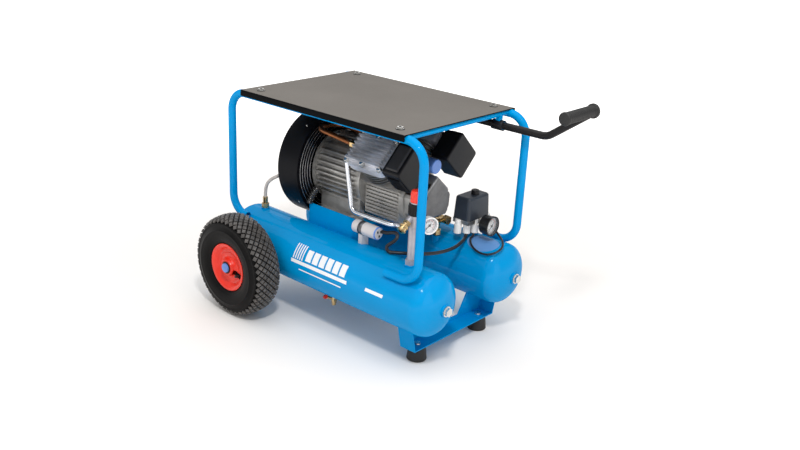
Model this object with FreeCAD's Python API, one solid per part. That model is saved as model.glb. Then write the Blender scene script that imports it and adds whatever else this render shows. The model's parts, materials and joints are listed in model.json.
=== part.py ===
import FreeCAD, Part
import math
import os
from FreeCAD import Vector

# Wheelbarrow air compressor: two slim air tanks side by side on two pneumatic wheels
# and two rubber feet, a motor with a V-twin pump on top, and a tube cage that carries
# a top plate and a crank handle. Millimetres. X runs forward from the wheels to the
# feet, Y to the left, Z up. Everything is drawn from the wheel axle line and moved at
# the end, so that the origin is the middle of the bounding box at ground level.

# ---- driving dimensions ----
TYRE_RADIUS = 130.0
TYRE_WIDTH = 85.0
WHEEL_Y = 261.3
RIM_FLANGE_RADIUS = 61.5
AXLE_RADIUS = 10.0
AXLE_END_Y = 299.0
HUB_HALF = 36.0

TANK_RADIUS = 76.0
TANK_WALL = 2.2
TANK_Y = 132.5
TANK_Z = 160.3
TANK_REAR = -126.0
TANK_FRONT = 566.0
HEAD_CROWN = 105.0
HEAD_KNUCKLE = 32.0

CAGE_Y = 185.4
CAGE_RADIUS = 10.0
CAGE_WALL = 1.5
CAGE_FRONT = 524.3
CAGE_REAR = -107.4
CAGE_TOP = 544.0
CAGE_FOOT_Z = 226.0
CAGE_FOOT_X = (-50.0, 430.0)
CAGE_BEND = 50.0

PLATE_REAR = -56.0
PLATE_FRONT = 477.4
PLATE_HALF = 199.8
PLATE_TOP = 556.0
PLATE_SHEET = 2.0
PLATE_SKIRT = 15.0
PLATE_BOLT_X = (-17.2, 437.0)
PLATE_BOLT_Y = 167.3
CROSSBAR_X = (-50.0, 240.0, 468.0)
CROSSBAR_RADIUS = 7.0

HANDLE_RADIUS = 9.0
HANDLE_Y = 151.0
HANDLE_Z = 520.0
HANDLE_START = 222.0
HANDLE_BEND_X = 604.0
GRIP_X = 726.5
GRIP_Z = 608.0
GRIP_END_Y = 10.0
GRIP_FLANGE_Y = 128.0
GRIP_FLANGE_RADIUS = 16.5
GRIP_RADIUS = 12.8

FEET_X = 478.0
FEET_Y = 116.0
FOOT_HEIGHT = 35.0
FOOT_RADIUS = 24.0
BRACKET_REAR = 455.0
BRACKET_FRONT = 500.0
BRACKET_HALF = 150.0
BRACKET_SHEET = 3.0

SHAFT_Z = 362.0
COWL_RADIUS = 139.0
COWL_REAR = 9.0
COWL_FRONT = 82.0
COWL_SHEET = 1.6
COWL_MOUTH = 94.0
GUIDE_RADIUS = 106.0
GUIDE_LENGTH = 140.0
MOTOR_REAR = 86.0
MOTOR_FRONT = 238.0
MOTOR_CORE = 80.0
MOTOR_FIN_RADIUS = 91.0
MOUNT_REAR = 88.0
MOUNT_FRONT = 256.0
MOUNT_HALF = 100.0
MOUNT_FLOOR = 259.0
MOUNT_TOP = 280.0
MOUNT_SHEET = 3.0

CASE_FRONT = 349.0
COVER_REAR = 382.0
COVER_FRONT = 420.0
CYLINDER_X = (292.0, 308.0)
BORE_RADIUS = 35.0
SEAT = 62.0
HEAD_SEAT = 112.0
HEAD_TOP = 150.0
HEAD_HALF = 60.0
CRANK_THROW = 19.0
COVER_BOLTS = ((-44.0, -40.0), (44.0, -40.0), (-42.0, 4.0), (42.0, 4.0))
FILTER_HEIGHT = 79.0
BREATHER_X = 366.0
FILTER_LOW = (64.0, 76.0)

REGULATOR_X = 466.0
KNOB_START = 391.0
RISER_X = 457.0
RISER_RADIUS = 8.5
SWITCH_X = 427.0
SWITCH_Y = 126.0
GAUGE_DIR = (0.92, -0.39, 0.0)
COUPLER_DIR = (0.0, -0.82, -0.57)

SHAFT_CLEARANCE = 0.05
FIT_GAP = 0.08
SOFT_GAP = 0.3

GRIP_FRONT = GRIP_X + GRIP_FLANGE_RADIUS
TO_ORIGIN = Vector((TYRE_RADIUS - GRIP_FRONT) / 2, 0, 0)
X_AXIS = Vector(1, 0, 0)
Y_AXIS = Vector(0, 1, 0)
Z_AXIS = Vector(0, 0, 1)


# ---- shape helpers ----
def cylinder(base, direction, radius, length):
    return Part.makeCylinder(radius, length, Vector(*base), Vector(*direction))


def ring(base, direction, outer, inner, length):
    return cylinder(base, direction, outer, length).cut(cylinder(base, direction, inner, length))


def block(low, high):
    size = [b - a for a, b in zip(low, high)]
    return Part.makeBox(*size, Vector(*low))


def united(shapes):
    first, *rest = shapes
    return first.multiFuse(rest).removeSplitter() if rest else first


def prism(points, direction):
    corners = [Vector(*p) for p in points]
    return Part.Face(Part.makePolygon(corners + corners[:1])).extrude(Vector(*direction))


def hexagon(base, direction, across_flats, height):
    bar = prism([(across_flats / math.sqrt(3) * math.cos(math.radians(a)),
                  across_flats / math.sqrt(3) * math.sin(math.radians(a)), 0)
                 for a in range(0, 360, 60)], (0, 0, height))
    return aimed(bar, base, direction)


def aimed(shape, base, direction):
    """Turns a shape drawn along +Z so that it points along direction from base."""
    turn = FreeCAD.Rotation(Z_AXIS, Vector(*direction))
    shape = shape.copy()
    shape.Placement = FreeCAD.Placement(Vector(*base), turn).multiply(shape.Placement)
    return shape


def moved(shape, x=0.0, y=0.0, z=0.0):
    shape = shape.copy()
    shape.translate(Vector(x, y, z))
    return shape


def mirrored(shape):
    return shape.mirror(Vector(0, 0, 0), Y_AXIS)


def both_sides(shape):
    return [mirrored(shape), shape]


def bent_path(points, radii):
    """Straight runs between the points, joined by tangent arcs of the given radii."""
    corners = [Vector(*p) for p in points]
    edges = []
    start = corners[0]
    for here, after, radius, before in zip(corners[1:], corners[2:], radii, corners):
        arrive = (here - before).normalize()
        leave = (after - here).normalize()
        turn = arrive.getAngle(leave)
        reach = radius * math.tan(turn / 2)
        first = here - arrive * reach
        last = here + leave * reach
        inward = (leave - arrive).normalize()
        middle = here + inward * (radius / math.cos(turn / 2) - radius)
        edges.append(Part.LineSegment(start, first).toShape())
        edges.append(Part.Arc(first, middle, last).toShape())
        start = last
    edges.append(Part.LineSegment(start, corners[-1]).toShape())
    return Part.Wire(edges)


def bent_rod(points, radii, radius):
    path = bent_path(points, radii)
    heading = Vector(*points[1]) - Vector(*points[0])
    rim = Part.Circle(Vector(*points[0]), heading, radius).toShape()
    return path.makePipe(Part.Face(Part.Wire([rim])))


def bent_tube(points, radii, radius, wall):
    return bent_rod(points, radii, radius).cut(bent_rod(points, radii, radius - wall))


def spun(outline, axis=X_AXIS):
    """Solid of revolution about axis from a closed list of edges."""
    return Part.Face(Part.Wire(outline)).revolve(Vector(0, 0, 0), axis, 360)


def outline_edges(points):
    """Closed outline. A pair is a corner, a triple ('arc', through, end) an arc."""
    edges = []
    first = here = Vector(*points[0])
    for item in points[1:]:
        if item[0] == "arc":
            end = Vector(*item[2])
            edges.append(Part.Arc(here, Vector(*item[1]), end).toShape())
        else:
            end = Vector(*item)
            edges.append(Part.LineSegment(here, end).toShape())
        here = end
    edges.append(Part.LineSegment(here, first).toShape())
    return edges


def rounded(shape, radius, keep):
    """Rounds the straight or curved edges for which keep(edge) is true."""
    chosen = [edge for edge in shape.Edges if keep(edge)]
    return shape.makeFillet(radius, chosen)


def runs_along(axis):
    def test(edge):
        if not isinstance(edge.Curve, Part.Line):
            return False
        return abs(edge.tangentAt(edge.FirstParameter).dot(axis)) > 0.999
    return test


def hex_bolt(base, direction, size, shank):
    """Hex head with a washer face standing on base; the shank runs the other way."""
    back = [-d for d in direction]
    head = hexagon(base, direction, size * 1.6, size * 0.65)
    washer = cylinder(base, direction, size * 1.05, size * 0.18)
    return united([washer, head, cylinder(base, back, size / 2, shank)])


# ---- tanks ----
def tank_solid(inset):
    """Welded cylinder with a dished head at each end, drawn about the X axis."""
    centre_ring = TANK_RADIUS - HEAD_KNUCKLE
    gap = HEAD_CROWN - HEAD_KNUCKLE
    depth = HEAD_CROWN - math.sqrt(gap ** 2 - centre_ring ** 2)
    edge_angle = math.asin(centre_ring / gap)
    crown = HEAD_CROWN - inset
    knuckle = HEAD_KNUCKLE - inset

    def head(tip, sign):
        crown_x = tip - sign * HEAD_CROWN
        knuckle_x = tip - sign * depth
        half = edge_angle / 2
        upper = (edge_angle + math.pi / 2) / 2
        pole = (crown_x + sign * crown, 0, 0)
        mid_crown = (crown_x + sign * crown * math.cos(half), 0, crown * math.sin(half))
        tangent = (crown_x + sign * crown * math.cos(edge_angle), 0, crown * math.sin(edge_angle))
        mid_knuckle = (knuckle_x + sign * knuckle * math.cos(upper), 0,
                       centre_ring + knuckle * math.sin(upper))
        shoulder = (knuckle_x, 0, centre_ring + knuckle)
        return pole, mid_crown, tangent, mid_knuckle, shoulder

    pole_f, crown_f, tangent_f, knuckle_f, shoulder_f = head(TANK_FRONT, 1)
    pole_r, crown_r, tangent_r, knuckle_r, shoulder_r = head(TANK_REAR, -1)
    edges = outline_edges([pole_r, ("arc", crown_r, tangent_r), ("arc", knuckle_r, shoulder_r),
                           shoulder_f, ("arc", knuckle_f, tangent_f), ("arc", crown_f, pole_f)])
    return moved(spun(edges), y=TANK_Y, z=TANK_Z)


TANK_OUTER = tank_solid(0.0)
TANK_INNER = tank_solid(TANK_WALL)
HOSE_BOSS_X = -44.0
DRAIN_X = 216.0
VALVE_X = 356.0
VALVE_Y = 84.0
VALVE_Z = 272.0


def air_tank(top_bosses):
    """Shell with welded bosses: front plug, drain below, and the given ones on top."""
    outside = [TANK_OUTER, cylinder((TANK_FRONT - 12, TANK_Y, TANK_Z), (1, 0, 0), 15, 15)]
    outside.append(cylinder((DRAIN_X, TANK_Y, TANK_Z - TANK_RADIUS - 3), (0, 0, 1), 12, 12))
    holes = [cylinder((TANK_FRONT - 20, TANK_Y, TANK_Z), (1, 0, 0), 8, 40)]
    holes.append(cylinder((DRAIN_X, TANK_Y, TANK_Z - TANK_RADIUS - 20), (0, 0, 1), 6, 40))
    for x, y, top, radius in top_bosses:
        outside.append(cylinder((x, y, TANK_Z + 30), (0, 0, 1), radius, top - TANK_Z - 30))
        holes.append(cylinder((x, y, TANK_Z + 20), (0, 0, 1), radius * 0.5, 80))
    return united(outside).cut(TANK_INNER).cut(united(holes))


def tank_end_plugs():
    """Zinc hex plugs screwed into the front bosses."""
    face = TANK_FRONT + 3
    head = united([cylinder((face, TANK_Y, TANK_Z), (1, 0, 0), 12.5, 2.5),
                   hexagon((face + 2.5, TANK_Y, TANK_Z), (1, 0, 0), 19, 7)])
    plug = head.fuse(cylinder((face - 14, TANK_Y, TANK_Z), (1, 0, 0), 8, 14))
    return both_sides(plug)


# ---- wheels ----
def stub_axles():
    """Bracket welded to the outer side of each tank, with the wheel's stub axle."""
    pad = block((-26, TANK_Y + 50, 96), (26, 214, 166)).cut(TANK_OUTER)
    shoulder = cylinder((0, 213, TYRE_RADIUS), (0, 1, 0), 16, 8)
    pin = cylinder((0, 205, TYRE_RADIUS), (0, 1, 0), AXLE_RADIUS, AXLE_END_Y - 205)
    return both_sides(united([pad, shoulder, pin]).cut(TANK_OUTER))


def hub_caps():
    """Push-on caps that keep the wheels on their stub axles."""
    start = WHEEL_Y + HUB_HALF + SOFT_GAP
    shell = cylinder((0, start, TYRE_RADIUS), (0, 1, 0), 11.5, 5.2)
    recess = cylinder((0, start, TYRE_RADIUS), (0, 1, 0), AXLE_RADIUS, AXLE_END_Y - start)
    return both_sides(shell.cut(recess))


def tyre():
    """Pneumatic casing, open towards the rim, with its beads on the rim's seats."""
    half = TYRE_WIDTH / 2
    crown = TYRE_RADIUS
    outside = [(0, -24.0, 51.3), (0, -33.5, 51.3), (0, -33.5, 62.5),
               ("arc", (0, -half, 90.0), (0, -36.5, 113.0)),
               ("arc", (0, -32.0, 121.5), (0, -23.0, 126.5)), ("arc", (0, 0, crown), (0, 23.0, 126.5)),
               ("arc", (0, 32.0, 121.5), (0, 36.5, 113.0)), ("arc", (0, half, 90.0), (0, 33.5, 62.5)),
               (0, 33.5, 51.3), (0, 24.0, 51.3), (0, 28.0, 62.0),
               ("arc", (0, 36.0, 88.0), (0, 27.0, 113.0)),
               ("arc", (0, 0, 120.0), (0, -27.0, 113.0)), ("arc", (0, -36.0, 88.0), (0, -28.0, 62.0))]
    return spun(outline_edges(outside), Y_AXIS)


def inner_tube():
    """Rubber air tube inside the casing, with a bent valve stem through the rim."""
    outer = [(0, -17.0, 51.6), ("arc", (0, -33.5, 88.0), (0, -23.0, 111.0)),
             ("arc", (0, 0, 118.0), (0, 23.0, 111.0)), ("arc", (0, 33.5, 88.0), (0, 17.0, 51.6))]
    inner = [(0, -16.0, 53.8), ("arc", (0, -31.0, 88.0), (0, -21.5, 109.0)),
             ("arc", (0, 0, 115.5), (0, 21.5, 109.0)), ("arc", (0, 31.0, 88.0), (0, 16.0, 53.8))]
    hollow = spun(outline_edges(outer), Y_AXIS).cut(spun(outline_edges(inner), Y_AXIS))
    stem = bent_rod([(0, 12, 53), (0, 12, 38), (0, 33, 34)], [9.0], 3.5)
    return turned_y(united([hollow, stem]))


VALVE_ANGLE = 118.0


def turned_y(shape):
    shape = shape.copy()
    shape.rotate(Vector(0, 0, 0), Y_AXIS, VALVE_ANGLE)
    return shape


def rim():
    """Moulded plastic rim: barrel with bead flanges, dished disc, ribs and a long hub."""
    seat = 51.0
    barrel = ring((0, -35, 0), (0, 1, 0), seat, seat - 4.5, 70)
    flanges = [ring((0, y, 0), (0, 1, 0), RIM_FLANGE_RADIUS, seat - 4.5, 3.0) for y in (-37.5, 34.5)]
    hub = ring((0, -HUB_HALF, 0), (0, 1, 0), 18.5, 15.0, 2 * HUB_HALF)
    disc = spun(outline_edges([(0, 20.0, 17.0), (0, 24.0, 30.0), (0, 24.0, 49.0),
                               (0, 19.5, 49.0), (0, 19.5, 31.0), (0, 15.5, 17.0)]), Y_AXIS)
    ribs = []
    for number in range(6):
        rib = block((17, -30, -1.6), (48, 20, 1.6))
        rib.rotate(Vector(0, 0, 0), Y_AXIS, 60 * number + 28)
        ribs.append(rib)
    notch = turned_y(cylinder((0, 12, 26), (0, 0, 1), 4.5, 40).fuse(
        block((-8.5, 7, 26), (8.5, 40, 46))))
    body = united([barrel, hub, disc] + flanges + ribs)
    return body.cut(notch)


def wheel_bearings():
    """Two bearing rings per wheel, pressed on the stub axle; the hub turns on them."""
    rings = []
    for start in (-HUB_HALF, HUB_HALF - 14):
        rings.append(ring((0, WHEEL_Y + start, TYRE_RADIUS), (0, 1, 0),
                          15.0 - SHAFT_CLEARANCE, AXLE_RADIUS, 14))
    return [shape for one in rings for shape in both_sides(one)]


def on_left_axle(shape):
    return moved(shape, y=WHEEL_Y, z=TYRE_RADIUS)


# ---- front feet ----
def foot_bracket():
    """Pressed tray under the tank fronts: floor, flared ends and a saddled rear web."""
    floor = block((BRACKET_REAR, -BRACKET_HALF, FOOT_HEIGHT),
                  (BRACKET_FRONT, BRACKET_HALF, FOOT_HEIGHT + BRACKET_SHEET))
    flare = 14.0
    top = FOOT_HEIGHT + 62
    end = prism([(BRACKET_REAR, BRACKET_HALF - BRACKET_SHEET, FOOT_HEIGHT),
                 (BRACKET_REAR, BRACKET_HALF, FOOT_HEIGHT),
                 (BRACKET_REAR, BRACKET_HALF + flare, top),
                 (BRACKET_REAR, BRACKET_HALF + flare - BRACKET_SHEET, top)],
                (BRACKET_FRONT - BRACKET_REAR, 0, 0))
    saddle = prism([(BRACKET_REAR, 0, FOOT_HEIGHT), (BRACKET_REAR, BRACKET_HALF - 1, FOOT_HEIGHT),
                    (BRACKET_REAR, BRACKET_HALF + 12, top), (BRACKET_REAR, 92, top),
                    (BRACKET_REAR, 62, FOOT_HEIGHT + 12), (BRACKET_REAR, 0, FOOT_HEIGHT + 12)],
                   (BRACKET_SHEET, 0, 0))
    whole = united([floor] + both_sides(end) + both_sides(saddle))
    for tank in both_sides(TANK_OUTER):
        whole = whole.cut(tank)
    for y in (-FEET_Y, FEET_Y):
        whole = whole.cut(cylinder((FEET_X, y, FOOT_HEIGHT - 5), (0, 0, 1), 4.0, 20))
    return whole


def rubber_feet():
    """Bell-shaped rubber feet with a recess for the screw that holds them."""
    edges = outline_edges([(5.0, 0, 6.0), (5.0, 0, 0), (FOOT_RADIUS - 3, 0, 0),
                           ("arc", (FOOT_RADIUS - 0.9, 0, 0.9), (FOOT_RADIUS, 0, 3.0)),
                           (FOOT_RADIUS - 3.5, 0, FOOT_HEIGHT), (4.0, 0, FOOT_HEIGHT), (4.0, 0, 6.0)])
    foot = spun(edges, Z_AXIS)
    return both_sides(moved(foot, x=FEET_X, y=FEET_Y))


# ---- cage and top plate ----
def cage_loop():
    """One side of the cage: a bent tube whose two ends turn in and sit on the tank."""
    path = [(CAGE_FOOT_X[1], CAGE_Y, CAGE_FOOT_Z), (CAGE_FRONT, CAGE_Y, CAGE_FOOT_Z),
            (CAGE_FRONT, CAGE_Y, CAGE_TOP), (CAGE_REAR, CAGE_Y, CAGE_TOP),
            (CAGE_REAR, CAGE_Y, CAGE_FOOT_Z), (CAGE_FOOT_X[0], CAGE_Y, CAGE_FOOT_Z)]
    tube = bent_tube(path, [CAGE_BEND] * 4, CAGE_RADIUS, CAGE_WALL).cut(TANK_OUTER)
    hollow = bent_rod(path, [CAGE_BEND] * 4, CAGE_RADIUS - CAGE_WALL)
    plate_under = PLATE_TOP - PLATE_SHEET
    for x in PLATE_BOLT_X:
        tab = block((x - 14, PLATE_BOLT_Y - 12, plate_under - 3), (x + 14, CAGE_Y, plate_under))
        tube = tube.fuse(tab.cut(hollow).cut(cylinder((x, PLATE_BOLT_Y, CAGE_TOP), (0, 0, 1), 4, 30)))
    return tube.removeSplitter()


def cage_crossbars():
    """Three bars between the side loops; two carry the guide sleeves of the handle."""
    loops = both_sides(cylinder((CAGE_REAR + 20, CAGE_Y, CAGE_TOP), (1, 0, 0), CAGE_RADIUS,
                                CAGE_FRONT - CAGE_REAR - 40))
    z = PLATE_TOP - PLATE_SHEET - CROSSBAR_RADIUS - 0.5
    bars = []
    for x in CROSSBAR_X:
        bar = cylinder((x, -CAGE_Y, z), (0, 1, 0), CROSSBAR_RADIUS, 2 * CAGE_Y)
        for loop in loops:
            bar = bar.cut(loop)
        if x > 0:
            sleeve = cylinder((x - 15, HANDLE_Y, HANDLE_Z), (1, 0, 0), HANDLE_RADIUS + 3, 30)
            web = block((x - 6, HANDLE_Y - 6, HANDLE_Z + 6), (x + 6, HANDLE_Y + 6, z - 3))
            bore = cylinder((x - 20, HANDLE_Y, HANDLE_Z), (1, 0, 0), HANDLE_RADIUS + FIT_GAP, 40)
            bar = united([bar, sleeve, web]).cut(bore)
        bars.append(bar)
    return bars


def top_plate():
    """Folded sheet with a deep skirt along each long side and a short lip at each end."""
    low = PLATE_TOP - PLATE_SKIRT
    outer = block((PLATE_REAR, -PLATE_HALF, low), (PLATE_FRONT, PLATE_HALF, PLATE_TOP))
    outer = rounded(outer, 4.0, lambda e: runs_along(X_AXIS)(e) and e.Vertexes[0].Z > low + 1)
    inner = block((PLATE_REAR - 5, PLATE_SHEET - PLATE_HALF, low - 5),
                  (PLATE_FRONT + 5, PLATE_HALF - PLATE_SHEET, PLATE_TOP - PLATE_SHEET))
    inner = rounded(inner, 2.0, lambda e: runs_along(X_AXIS)(e) and e.Vertexes[0].Z > low + 1)
    plate = outer.cut(inner)
    for x in PLATE_BOLT_X:
        for y in (-PLATE_BOLT_Y, PLATE_BOLT_Y):
            plate = plate.cut(cylinder((x, y, low), (0, 0, 1), 4.0, 40))
    return plate


# ---- handle ----
def handle_tube():
    """Crank handle: straight arm in its sleeves, raised bend, then a bar for the grip."""
    path = [(HANDLE_START, HANDLE_Y, HANDLE_Z), (HANDLE_BEND_X, HANDLE_Y, HANDLE_Z),
            (GRIP_X, HANDLE_Y, GRIP_Z), (GRIP_X, GRIP_END_Y + 4, GRIP_Z)]
    tube = bent_tube(path, [45.0, 22.0], HANDLE_RADIUS, 1.6)
    stop = ring((HANDLE_START, HANDLE_Y, HANDLE_Z), (1, 0, 0), HANDLE_RADIUS + 1.6,
                HANDLE_RADIUS - 0.8, 2.5)
    return tube.fuse(stop).removeSplitter()


def handle_grip():
    """Closed rubber grip with a thumb flange, pushed on the end of the handle bar."""
    length = GRIP_FLANGE_Y - GRIP_END_Y
    start = (GRIP_X, GRIP_END_Y, GRIP_Z)
    body = cylinder(start, (0, 1, 0), GRIP_RADIUS, length)
    nose = cylinder(start, (0, 1, 0), 14.8, 5)
    flange = cylinder((GRIP_X, GRIP_FLANGE_Y - 5, GRIP_Z), (0, 1, 0), GRIP_FLANGE_RADIUS, 5)
    whole = united([body, nose, flange])
    return whole.cut(cylinder((GRIP_X, GRIP_END_Y + 4, GRIP_Z), (0, 1, 0), HANDLE_RADIUS, length + 10))


# ---- motor ----
def motor_mount():
    """Channel welded across both tank tops; the motor's feet are bolted to its floor."""
    floor = block((MOUNT_REAR, -MOUNT_HALF, MOUNT_FLOOR - MOUNT_SHEET),
                  (MOUNT_FRONT, MOUNT_HALF, MOUNT_FLOOR))
    web = block((MOUNT_REAR, MOUNT_HALF - MOUNT_SHEET, TANK_Z + 60), (MOUNT_FRONT, MOUNT_HALF, MOUNT_TOP))
    whole = united([floor] + both_sides(web))
    for tank in both_sides(TANK_OUTER):
        whole = whole.cut(tank)
    for x, y in mount_bolt_places():
        whole = whole.cut(cylinder((x, y, 240), (0, 0, 1), 4.0, 40))
    return whole


def mount_bolt_places():
    return [(x, y) for x in (112, 222) for y in (-84, 84)]


def motor_housing():
    """Cast motor body with level fins inside a round outline, end rings and two feet."""
    length = MOTOR_FRONT - MOTOR_REAR
    core = cylinder((MOTOR_REAR, 0, SHAFT_Z), (1, 0, 0), MOTOR_CORE, length)
    envelope = cylinder((MOTOR_REAR + 12, 0, SHAFT_Z), (1, 0, 0), MOTOR_FIN_RADIUS, length - 24)
    fins = []
    for step in range(-5, 6):
        level = SHAFT_Z + 13.0 * step + 4
        fins.append(block((MOTOR_REAR, -110, level - 1.6), (MOTOR_FRONT, 110, level + 1.6)))
    fins = [fin.common(envelope) for fin in fins]
    rear_ring = cylinder((MOTOR_REAR, 0, SHAFT_Z), (1, 0, 0), MOTOR_FIN_RADIUS, 6)
    front_ring = cylinder((MOTOR_FRONT - 8, 0, SHAFT_Z), (1, 0, 0), 76, 8)
    feet = both_sides(block((MOTOR_REAR + 8, 62, MOUNT_FLOOR), (MOTOR_FRONT - 2, 95, MOUNT_FLOOR + 12)))
    legs = both_sides(block((MOTOR_REAR + 12, 52, MOUNT_FLOOR), (MOTOR_FRONT - 6, 68, SHAFT_Z - 40)))
    body = united([core, rear_ring, front_ring] + fins + feet + legs)
    cavity = cylinder((MOTOR_REAR + 6, 0, SHAFT_Z), (1, 0, 0), 68, length - 12)
    shaft_way = cylinder((0, 0, SHAFT_Z), (1, 0, 0), 17, 300)
    body = body.cut(cavity).cut(shaft_way)
    for x, y in mount_bolt_places():
        body = body.cut(cylinder((x, y, MOUNT_FLOOR - 5), (0, 0, 1), 4.0, 30))
    return body


def stator():
    return ring((118, 0, SHAFT_Z), (1, 0, 0), 68, 51, 84)


def motor_bearings():
    return [ring((x, 0, SHAFT_Z), (1, 0, 0), 17, 10 + SHAFT_CLEARANCE, 12)
            for x in (MOTOR_REAR, MOTOR_FRONT - 12)]


def rotor_shaft():
    """Rotor core on the shaft, with an overhung crank web, counterweight and pin."""
    shaft = cylinder((26, 0, SHAFT_Z), (1, 0, 0), 10, 240)
    core = cylinder((120, 0, SHAFT_Z), (1, 0, 0), 50, 80)
    web = cylinder((256, 0, SHAFT_Z), (1, 0, 0), 28, 12)
    weight = cylinder((256, 0, SHAFT_Z), (1, 0, 0), 44, 12).common(
        block((250, -50, SHAFT_Z - 50), (270, 50, SHAFT_Z - 8)))
    pin = cylinder((262, 0, SHAFT_Z + CRANK_THROW), (1, 0, 0), 9, 72)
    return united([shaft, core, web, weight, pin])


def cooling_fan():
    """Radial fan on the shaft's rear end: back disc, hub and swept blades."""
    x = 30.0
    disc = cylinder((x, 0, SHAFT_Z), (1, 0, 0), 118, 3)
    hub = cylinder((x, 0, SHAFT_Z), (1, 0, 0), 22, 26)
    blades = []
    for number in range(12):
        blade = block((x + 2, -1.5, 40), (x + 30, 1.5, 120))
        blade.rotate(Vector(x, 0, 0), X_AXIS, 30 * number)
        blades.append(moved(blade, z=SHAFT_Z))
    return united([disc, hub] + blades).cut(cylinder((0, 0, SHAFT_Z), (1, 0, 0), 10, 100))


def arc_slot(x, inner, width, first, sweep):
    """Concentric slot through a sheet that stands square to the shaft."""
    slab = ring((x, 0, 0), (1, 0, 0), inner + width, inner, 8)
    wedge_radius = 200.0
    corners = [(x, 0, 0)]
    steps = 4
    for step in range(steps + 1):
        angle = math.radians(first + sweep * step / steps)
        corners.append((x, wedge_radius * math.cos(angle), wedge_radius * math.sin(angle)))
    return moved(slab.common(prism(corners, (8, 0, 0))), z=SHAFT_Z)


def fan_cowl():
    """Round fan cowl: slotted rear wall, drum, slotted front ring and a curved air guide
    over the motor that leads the air to the left cylinder."""
    depth = COWL_FRONT - COWL_REAR
    drum = cylinder((COWL_REAR, 0, SHAFT_Z), (1, 0, 0), COWL_RADIUS, depth)
    drum = rounded(drum, 5.0, lambda e: isinstance(e.Curve, Part.Circle) and
                   e.Vertexes[0].X < COWL_REAR + 1)
    inner = cylinder((COWL_REAR + COWL_SHEET, 0, SHAFT_Z), (1, 0, 0), COWL_RADIUS - COWL_SHEET,
                     depth - 2 * COWL_SHEET)
    inner = rounded(inner, 3.4, lambda e: isinstance(e.Curve, Part.Circle) and
                    e.Vertexes[0].X < COWL_REAR + 3)
    mouth = cylinder((COWL_FRONT - 10, 0, SHAFT_Z), (1, 0, 0), COWL_MOUTH, 20)
    shell = drum.cut(inner).cut(mouth)
    slots = []
    for quarter in range(4):
        for radius in (101, 109, 117, 125):
            slots.append(arc_slot(COWL_FRONT - 5, radius, 3.6, 90 * quarter + 8, 74))
        for radius in (30, 45, 60, 75, 90, 105):
            slots.append(arc_slot(COWL_REAR - 3, radius, 6.0, 90 * quarter + 6, 78))
    shell = shell.cut(Part.makeCompound(slots))
    front = COWL_FRONT - COWL_SHEET
    lugs = []
    for angle in (45, 135, 225, 315):
        y = (MOTOR_FIN_RADIUS + 4) * math.cos(math.radians(angle))
        z = (MOTOR_FIN_RADIUS + 4) * math.sin(math.radians(angle))
        lugs.append(cylinder((front, y, SHAFT_Z + z), (1, 0, 0), 9, MOTOR_REAR - front))
    guide = ring((front, 0, SHAFT_Z), (1, 0, 0), GUIDE_RADIUS, GUIDE_RADIUS - COWL_SHEET, GUIDE_LENGTH)
    guide = guide.common(block((front, 8, SHAFT_Z + 60), (front + GUIDE_LENGTH, 80, SHAFT_Z + 120)))
    return united([shell, guide] + lugs)


# ---- pump ----
def to_bank(shape, bank):
    """Moves a shape drawn along +Z from the crank axis to one bank of the 90 degree V.
    Bank 1 leans to the left (+Y), bank 0 is its mirror image on the right."""
    leaned = shape.copy()
    leaned.rotate(Vector(0, 0, 0), X_AXIS, -45)
    leaned = moved(leaned, x=CYLINDER_X[bank], z=SHAFT_Z)
    return leaned if bank else mirrored(leaned)


def banks(shape):
    return [to_bank(shape, 0), to_bank(shape, 1)]


def case_outline(x, grow):
    """Y-shaped section of the crankcase with a flat seat for each cylinder."""
    far = (SEAT + 44) / math.sqrt(2)
    near = (SEAT - 44) / math.sqrt(2)
    half = [(48, -79), (56, -70), (56, 0), (far, near), (near, far)]
    right = [(x, y + grow, z - (grow if z < -75 else 0)) for y, z in half]
    left = [(px, -py, pz) for px, py, pz in reversed(right)]
    return [(px, py, pz + SHAFT_Z) for px, py, pz in right + left]


def crankcase():
    """Finned aluminium crankcase between the motor and the cover, open at the front."""
    body = prism(case_outline(MOTOR_FRONT, 0), (CASE_FRONT - MOTOR_FRONT, 0, 0))
    fins = []
    for step in range(8):
        level = SHAFT_Z - 70 + 9 * step
        fins.append(block((MOTOR_FRONT + 6, 50, level), (CASE_FRONT - 4, 61, level + 3.2)))
    flange = prism(cover_outline(CASE_FRONT, 6), (COVER_REAR - CASE_FRONT - 21, 0, 0))
    neck = prism(cover_outline(CASE_FRONT, 1), (COVER_REAR - CASE_FRONT, 0, 0))
    whole = united([body, flange, neck] + [s for fin in fins for s in both_sides(fin)])
    cavity = cylinder((MOTOR_FRONT + 8, 0, SHAFT_Z), (1, 0, 0), 50, 200)
    whole = whole.cut(cavity).cut(cylinder((MOTOR_FRONT - 5, 0, SHAFT_Z), (1, 0, 0), 17, 30))
    for bore in banks(cylinder((0, 0, 20), (0, 0, 1), BORE_RADIUS + 3, 60)):
        whole = whole.cut(bore)
    return whole.cut(cylinder((BREATHER_X, 0, SHAFT_Z + 20), (0, 0, 1), 7, 50))


def cover_outline(x, grow):
    """House-shaped outline of the crankcase cover, seen along the shaft."""
    half = [(38, -59), (50, -44), (53, -6), (42, 14), (0, 51)]
    scale = 1 + grow / 53
    right = [(x, y * scale, z * scale) for y, z in half]
    left = [(px, -py, pz) for px, py, pz in reversed(right[:-1])]
    return [(px, py, pz + SHAFT_Z) for px, py, pz in right + left]


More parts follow.
